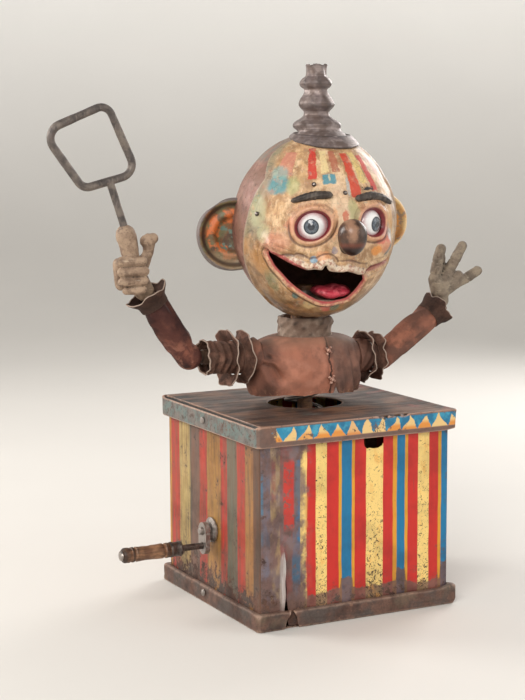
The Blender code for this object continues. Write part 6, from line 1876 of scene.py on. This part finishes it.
def tunic_paint():
    p, colour, fine, thread = tunic_cloth("tunic_body_cloth", tone(140, 88, 70), tone(176, 112, 88), tone(92, 60, 50), 361)
    chest = p.band(p.x, -30, 3.5, 4.0) * p.ramp(p.y, 0, -14)
    salmon = p.blotch([tone(168, 110, 88), tone(146, 98, 80), tone(182, 124, 102)], 10, seed=364)
    colour = p.mix(chest * 0.7, colour, salmon)
    right = p.ramp(p.x, 4, 9) * p.ramp(p.y, 5, -10)
    colour = p.mix(right * 0.8, colour, p.blotch([tone(102, 76, 66), tone(84, 62, 54), tone(118, 88, 76)], 9, seed=368))
    specks = p.ramp(p.noise(1.3, detail=5, roughness=0.7, seed=365), 0.66, 0.72)
    by_seam = p.ramp(abs(p.x - SEAM_X), 6.5, 1.5) * p.ramp(p.y, -10, -18)
    colour = p.mix(specks * by_seam, colour, tone(214, 178, 164))
    worn = p.ramp(p.noise(2.2, detail=6, roughness=0.7, seed=366), 0.55, 0.65) * p.ramp(p.z, 146, 140)
    colour = p.mix(worn * 0.6, colour, tone(196, 150, 110))
    crack = p.ramp(abs(p.x - SEAM_X - 0.4 + (p.noise(3, detail=3, seed=367) - 0.5) * 2.4), 0.75, 0.2)
    colour = p.mix(crack * p.ramp(p.y, -10, -16) * 0.85, colour, tone(36, 24, 20))
    colour = p.mix(p.ramp(p.z, 168, 177) * 0.4, colour, tone(120, 100, 84))
    colour = p.mix(p.ramp(p.x, -25, -38) * 0.55, colour, tone(92, 66, 56))
    return p.finish(colour, roughness=0.62 + 0.2 * fine, height=0.10 * fine + 0.05 * thread)


def collar_paint():
    p, colour, fine, thread = tunic_cloth("collar_cloth", tone(132, 112, 98), tone(158, 140, 126), tone(108, 88, 76), 371)
    return p.finish(colour, roughness=0.75 + 0.15 * fine, height=0.14 * fine + 0.05 * thread)


def forearm_paint(side):
    if side == "right":
        p, colour, fine, thread = tunic_cloth("forearm_right_cloth", tone(88, 50, 42), tone(128, 78, 62), tone(52, 28, 25), 375)
        shade = p.ramp(p.z, 176, 196)
        colour = p.mix(shade * 0.6, colour, tone(50, 22, 20))
        pale = p.ramp(p.noise(6, detail=4, seed=377), 0.5, 0.62) * p.ramp(p.z, 184, 170)
        colour = p.mix(pale * 0.6, colour, tone(150, 102, 84))
    else:
        p, colour, fine, thread = tunic_cloth("forearm_left_cloth", tone(142, 92, 74), tone(166, 108, 86), tone(108, 74, 62), 381)
        colour = p.dim(colour, p.ramp(p.noise(9, detail=4, seed=383), 0.5, 0.66) * 0.3)
    return p.finish(colour, roughness=0.66 + 0.2 * fine, height=0.10 * fine + 0.05 * thread)


def sleeve_paint(name="sleeve_cloth", shade=0.0):
    """Dark brown cloth with a pale rubbed edge."""
    p = Paint(name, roughness=0.82, specular=0.25)
    colour = p.blotch([tone(98, 68, 56), tone(72, 50, 42), tone(122, 88, 74), tone(84, 60, 50)], 8, seed=391)
    fine = p.noise(1.4, detail=7, roughness=0.72, seed=393)
    colour = p.dim(colour, p.ramp(fine, 0.48, 0.7) * 0.4)
    colour = p.mix(p.pointiness(0.51, 0.57) * 0.45, colour, tone(140, 112, 96))
    # Painted shade in the hollows of the cloth.
    colour = p.dim(colour, p.pointiness(0.495, 0.44) * 0.7)
    colour = p.mix(shade, colour, tone(34, 25, 22))
    frayed = p.ramp(p.attribute("rim") + (fine - 0.5) * 0.5, 0.5, 0.8)
    colour = p.mix(frayed * 0.85, colour, tone(176, 156, 142))
    thread = weave(p, 0.9)
    colour = p.dim(colour, (1.0 - thread) * 0.15)
    return p.finish(colour, roughness=0.78 + 0.15 * fine, height=0.14 * fine + 0.06 * thread)


def hand_paint(side):
    """Carved wood under worn paint."""
    p = Paint(f"hand_{side}_paint", roughness=0.66)
    if side == "right":
        tones, seed = [tone(140, 116, 96), tone(114, 92, 75), tone(158, 134, 112)], 401
    else:
        tones, seed = [tone(122, 107, 92), tone(98, 86, 74), tone(140, 126, 108)], 411
    colour = p.blotch(tones, 6, seed=seed)
    fine = p.noise(1.3, detail=7, roughness=0.72, seed=seed + 2)
    colour = p.dim(colour, p.ramp(fine, 0.5, 0.72) * 0.4)
    dents = p.noise(3.4, detail=5, roughness=0.6, seed=seed + 4)
    colour = p.mix(p.ramp(dents, 0.60, 0.68) * 0.55, colour, tone(84, 56, 44))
    # Painted shade in the hollows and creases of the carving.
    colour = p.dim(colour, p.pointiness(0.492, 0.43) * 0.85)
    scratch = p.ramp(p.noise(1.0, detail=4, stretch=(9, 9, 1), seed=seed + 6), 0.64, 0.70)
    colour = p.mix(scratch * 0.55, colour, tone(198, 184, 164))
    colour = p.mix(p.pointiness(0.52, 0.58) * 0.35, colour, tones[-1])
    return p.finish(colour, roughness=0.58 + 0.25 * fine, height=0.14 * fine - 0.25 * p.ramp(dents, 0.6, 0.68))


def wand_paint():
    p = Paint("wand_metal", roughness=0.5, metallic=0.45)
    colour = p.blotch([tone(96, 88, 84), tone(74, 68, 66), tone(118, 108, 100)], 7, seed=421)
    fine = p.noise(1.2, detail=6, roughness=0.7, seed=423)
    colour = p.dim(colour, p.ramp(fine, 0.5, 0.72) * 0.35)
    streak = p.noise(1.4, detail=4, stretch=(1, 1, 10), seed=425)
    colour = p.mix(p.ramp(streak, 0.58, 0.68) * 0.4, colour, tone(140, 130, 122))
    rust = p.ramp(p.noise(5, detail=6, roughness=0.65, seed=427), 0.60, 0.68)
    colour = p.mix(rust * 0.5, colour, tone(84, 60, 50))
    return p.finish(colour, roughness=0.42 + 0.25 * fine + 0.15 * rust, metallic=0.45 - 0.35 * rust,
                    height=0.07 * fine + 0.05 * streak)


def bead_paint():
    p = Paint("bead_glaze", roughness=0.35)
    colour = p.blotch([tone(172, 128, 112), tone(124, 82, 68), tone(198, 160, 142)], 1.6, seed=431)
    chips = p.ramp(p.noise(0.9, detail=5, roughness=0.7, seed=433), 0.58, 0.66)
    return p.finish(p.mix(chips * 0.8, colour, tone(70, 44, 36)), roughness=0.3 + 0.35 * chips)


def bare_wood(name, seed, tones):
    """Turned wood with its grain along Z, with painted shade in its hollows and rubbed lighter on its edges."""
    p = Paint(name, roughness=0.5)
    colour = p.blotch(tones, 8, seed=seed)
    grain = p.noise(1.1, detail=5, roughness=0.6, stretch=(10, 1, 1), seed=seed + 2)
    colour = p.dim(colour, p.ramp(grain, 0.42, 0.68) * 0.5)
    # Painted shade in the hollows.
    colour = p.dim(colour, p.pointiness(0.49, 0.44) * 0.8)
    colour = p.mix(p.pointiness(0.515, 0.57) * 0.45, colour, tones[-1])
    return p.finish(colour, roughness=0.38 + 0.3 * grain, height=0.08 * grain)


def brass_paint():
    p = Paint("old_brass", roughness=0.42, metallic=0.9)
    colour = p.blotch([tone(150, 118, 66), tone(112, 86, 50), tone(178, 146, 90)], 6, seed=441)
    tarnish = p.ramp(p.noise(3, detail=6, roughness=0.7, seed=443), 0.52, 0.66)
    colour = p.mix(tarnish * 0.7, colour, tone(70, 60, 42))
    fine = p.noise(0.9, detail=4, seed=445)
    return p.finish(colour, roughness=0.3 + 0.35 * tarnish, metallic=0.9 - 0.4 * tarnish, height=0.04 * fine)


def build_figure():
    tunic = tunic_paint()
    torso(tunic)
    armholes(tunic)
    collar(collar_paint())
    beads(bead_paint())
    cloth = sleeve_paint()
    cuff_cloth = sleeve_paint("cuff_cloth", 0.6)
    for side in ("right", "left"):
        sleeve(side, cloth)
        forearm(side, forearm_paint(side))
        cuff(side, cuff_cloth)
    flounce("ruffle_right_inner", "right", 50.6, 46.8, 18.0, 5, cloth, 1.0, ["ruffle_right"])
    flounce("ruffle_right_outer", "right", 54.4, 58.8, 19.2, 6, cloth, 2.3)
    flounce("ruffle_left_inner", "left", 50.4, 44.6, 18.0, 5, cloth, 3.1, ["ruffle_left"])
    flounce("ruffle_left_outer", "left", 52.0, 54.6, 16.6, 6, cloth, 0.7)
    hand("right", FIST, hand_paint("right"))
    hand("left", OPEN_HAND, hand_paint("left"))
    wand(wand_paint())


def spring(finish):
    """The coil spring, its end turns closed and flat; it rides on no body and stays where it stands."""
    low, high = cad_range("jack_spring", 2)
    wire = 1.2
    radius = cad_range("jack_spring", 0)[1] - wire
    turns = np.linspace(0, SPRING_TURNS + 2, (SPRING_TURNS + 2) * 40 + 1)
    closed = 2 * wire + 0.3
    rise = (high - low - 2 * wire - 2 * closed) / SPRING_TURNS * np.clip(turns - 1, 0, SPRING_TURNS)
    ends = np.minimum(turns, 1) + np.maximum(turns - 1 - SPRING_TURNS, 0)
    height = low + wire + rise + closed * ends
    angle = turns * math.tau
    path = np.column_stack([radius * np.cos(angle), radius * np.sin(angle), height])
    points, faces = tube(path, np.full(len(path), wire), 12)
    coil = piece("spring_coil", points, faces, finish, None, ["jack_spring"], sharp=60)
    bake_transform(coil)
    return coil


def dress_mechanism():
    """Gives each CAD part that stays in view its own surface."""
    metal = steel("old_steel")
    tin = rusted_tin("bare_tin", 471)
    brass = brass_paint()
    wood = bare_wood("turned_wood", 451, [tone(116, 78, 52), tone(88, 58, 40), tone(148, 106, 74)])
    dowel = bare_wood("dowel_wood", 455, [tone(62, 44, 34), tone(44, 31, 25), tone(80, 60, 46)])
    grip = bare_wood("grip_wood", 461, [tone(112, 76, 54), tone(84, 56, 42), tone(150, 110, 80)])
    crank_handle(grip, metal)
    spring(metal)
    for name, made in nodes.items():
        material = made.material_slots[0].material.name if made.material_slots else ""
        if name.startswith("upper_arm"):
            finish = dowel
        elif "brass" in material:
            finish = brass
        elif "wood" in material:
            finish = wood
        elif "tin" in material:
            finish = tin
        else:
            finish = metal
        for slot in made.material_slots:
            slot.material = finish


def main():
    stage()
    striped = striped_tin()
    rusted = rusted_tin()
    bunting = bunting_tin()
    dress_mechanism()
    case_walls(striped)
    base_pan(rusted)
    cap_tin(bunting)
    build_figure()
    build_head()


main()
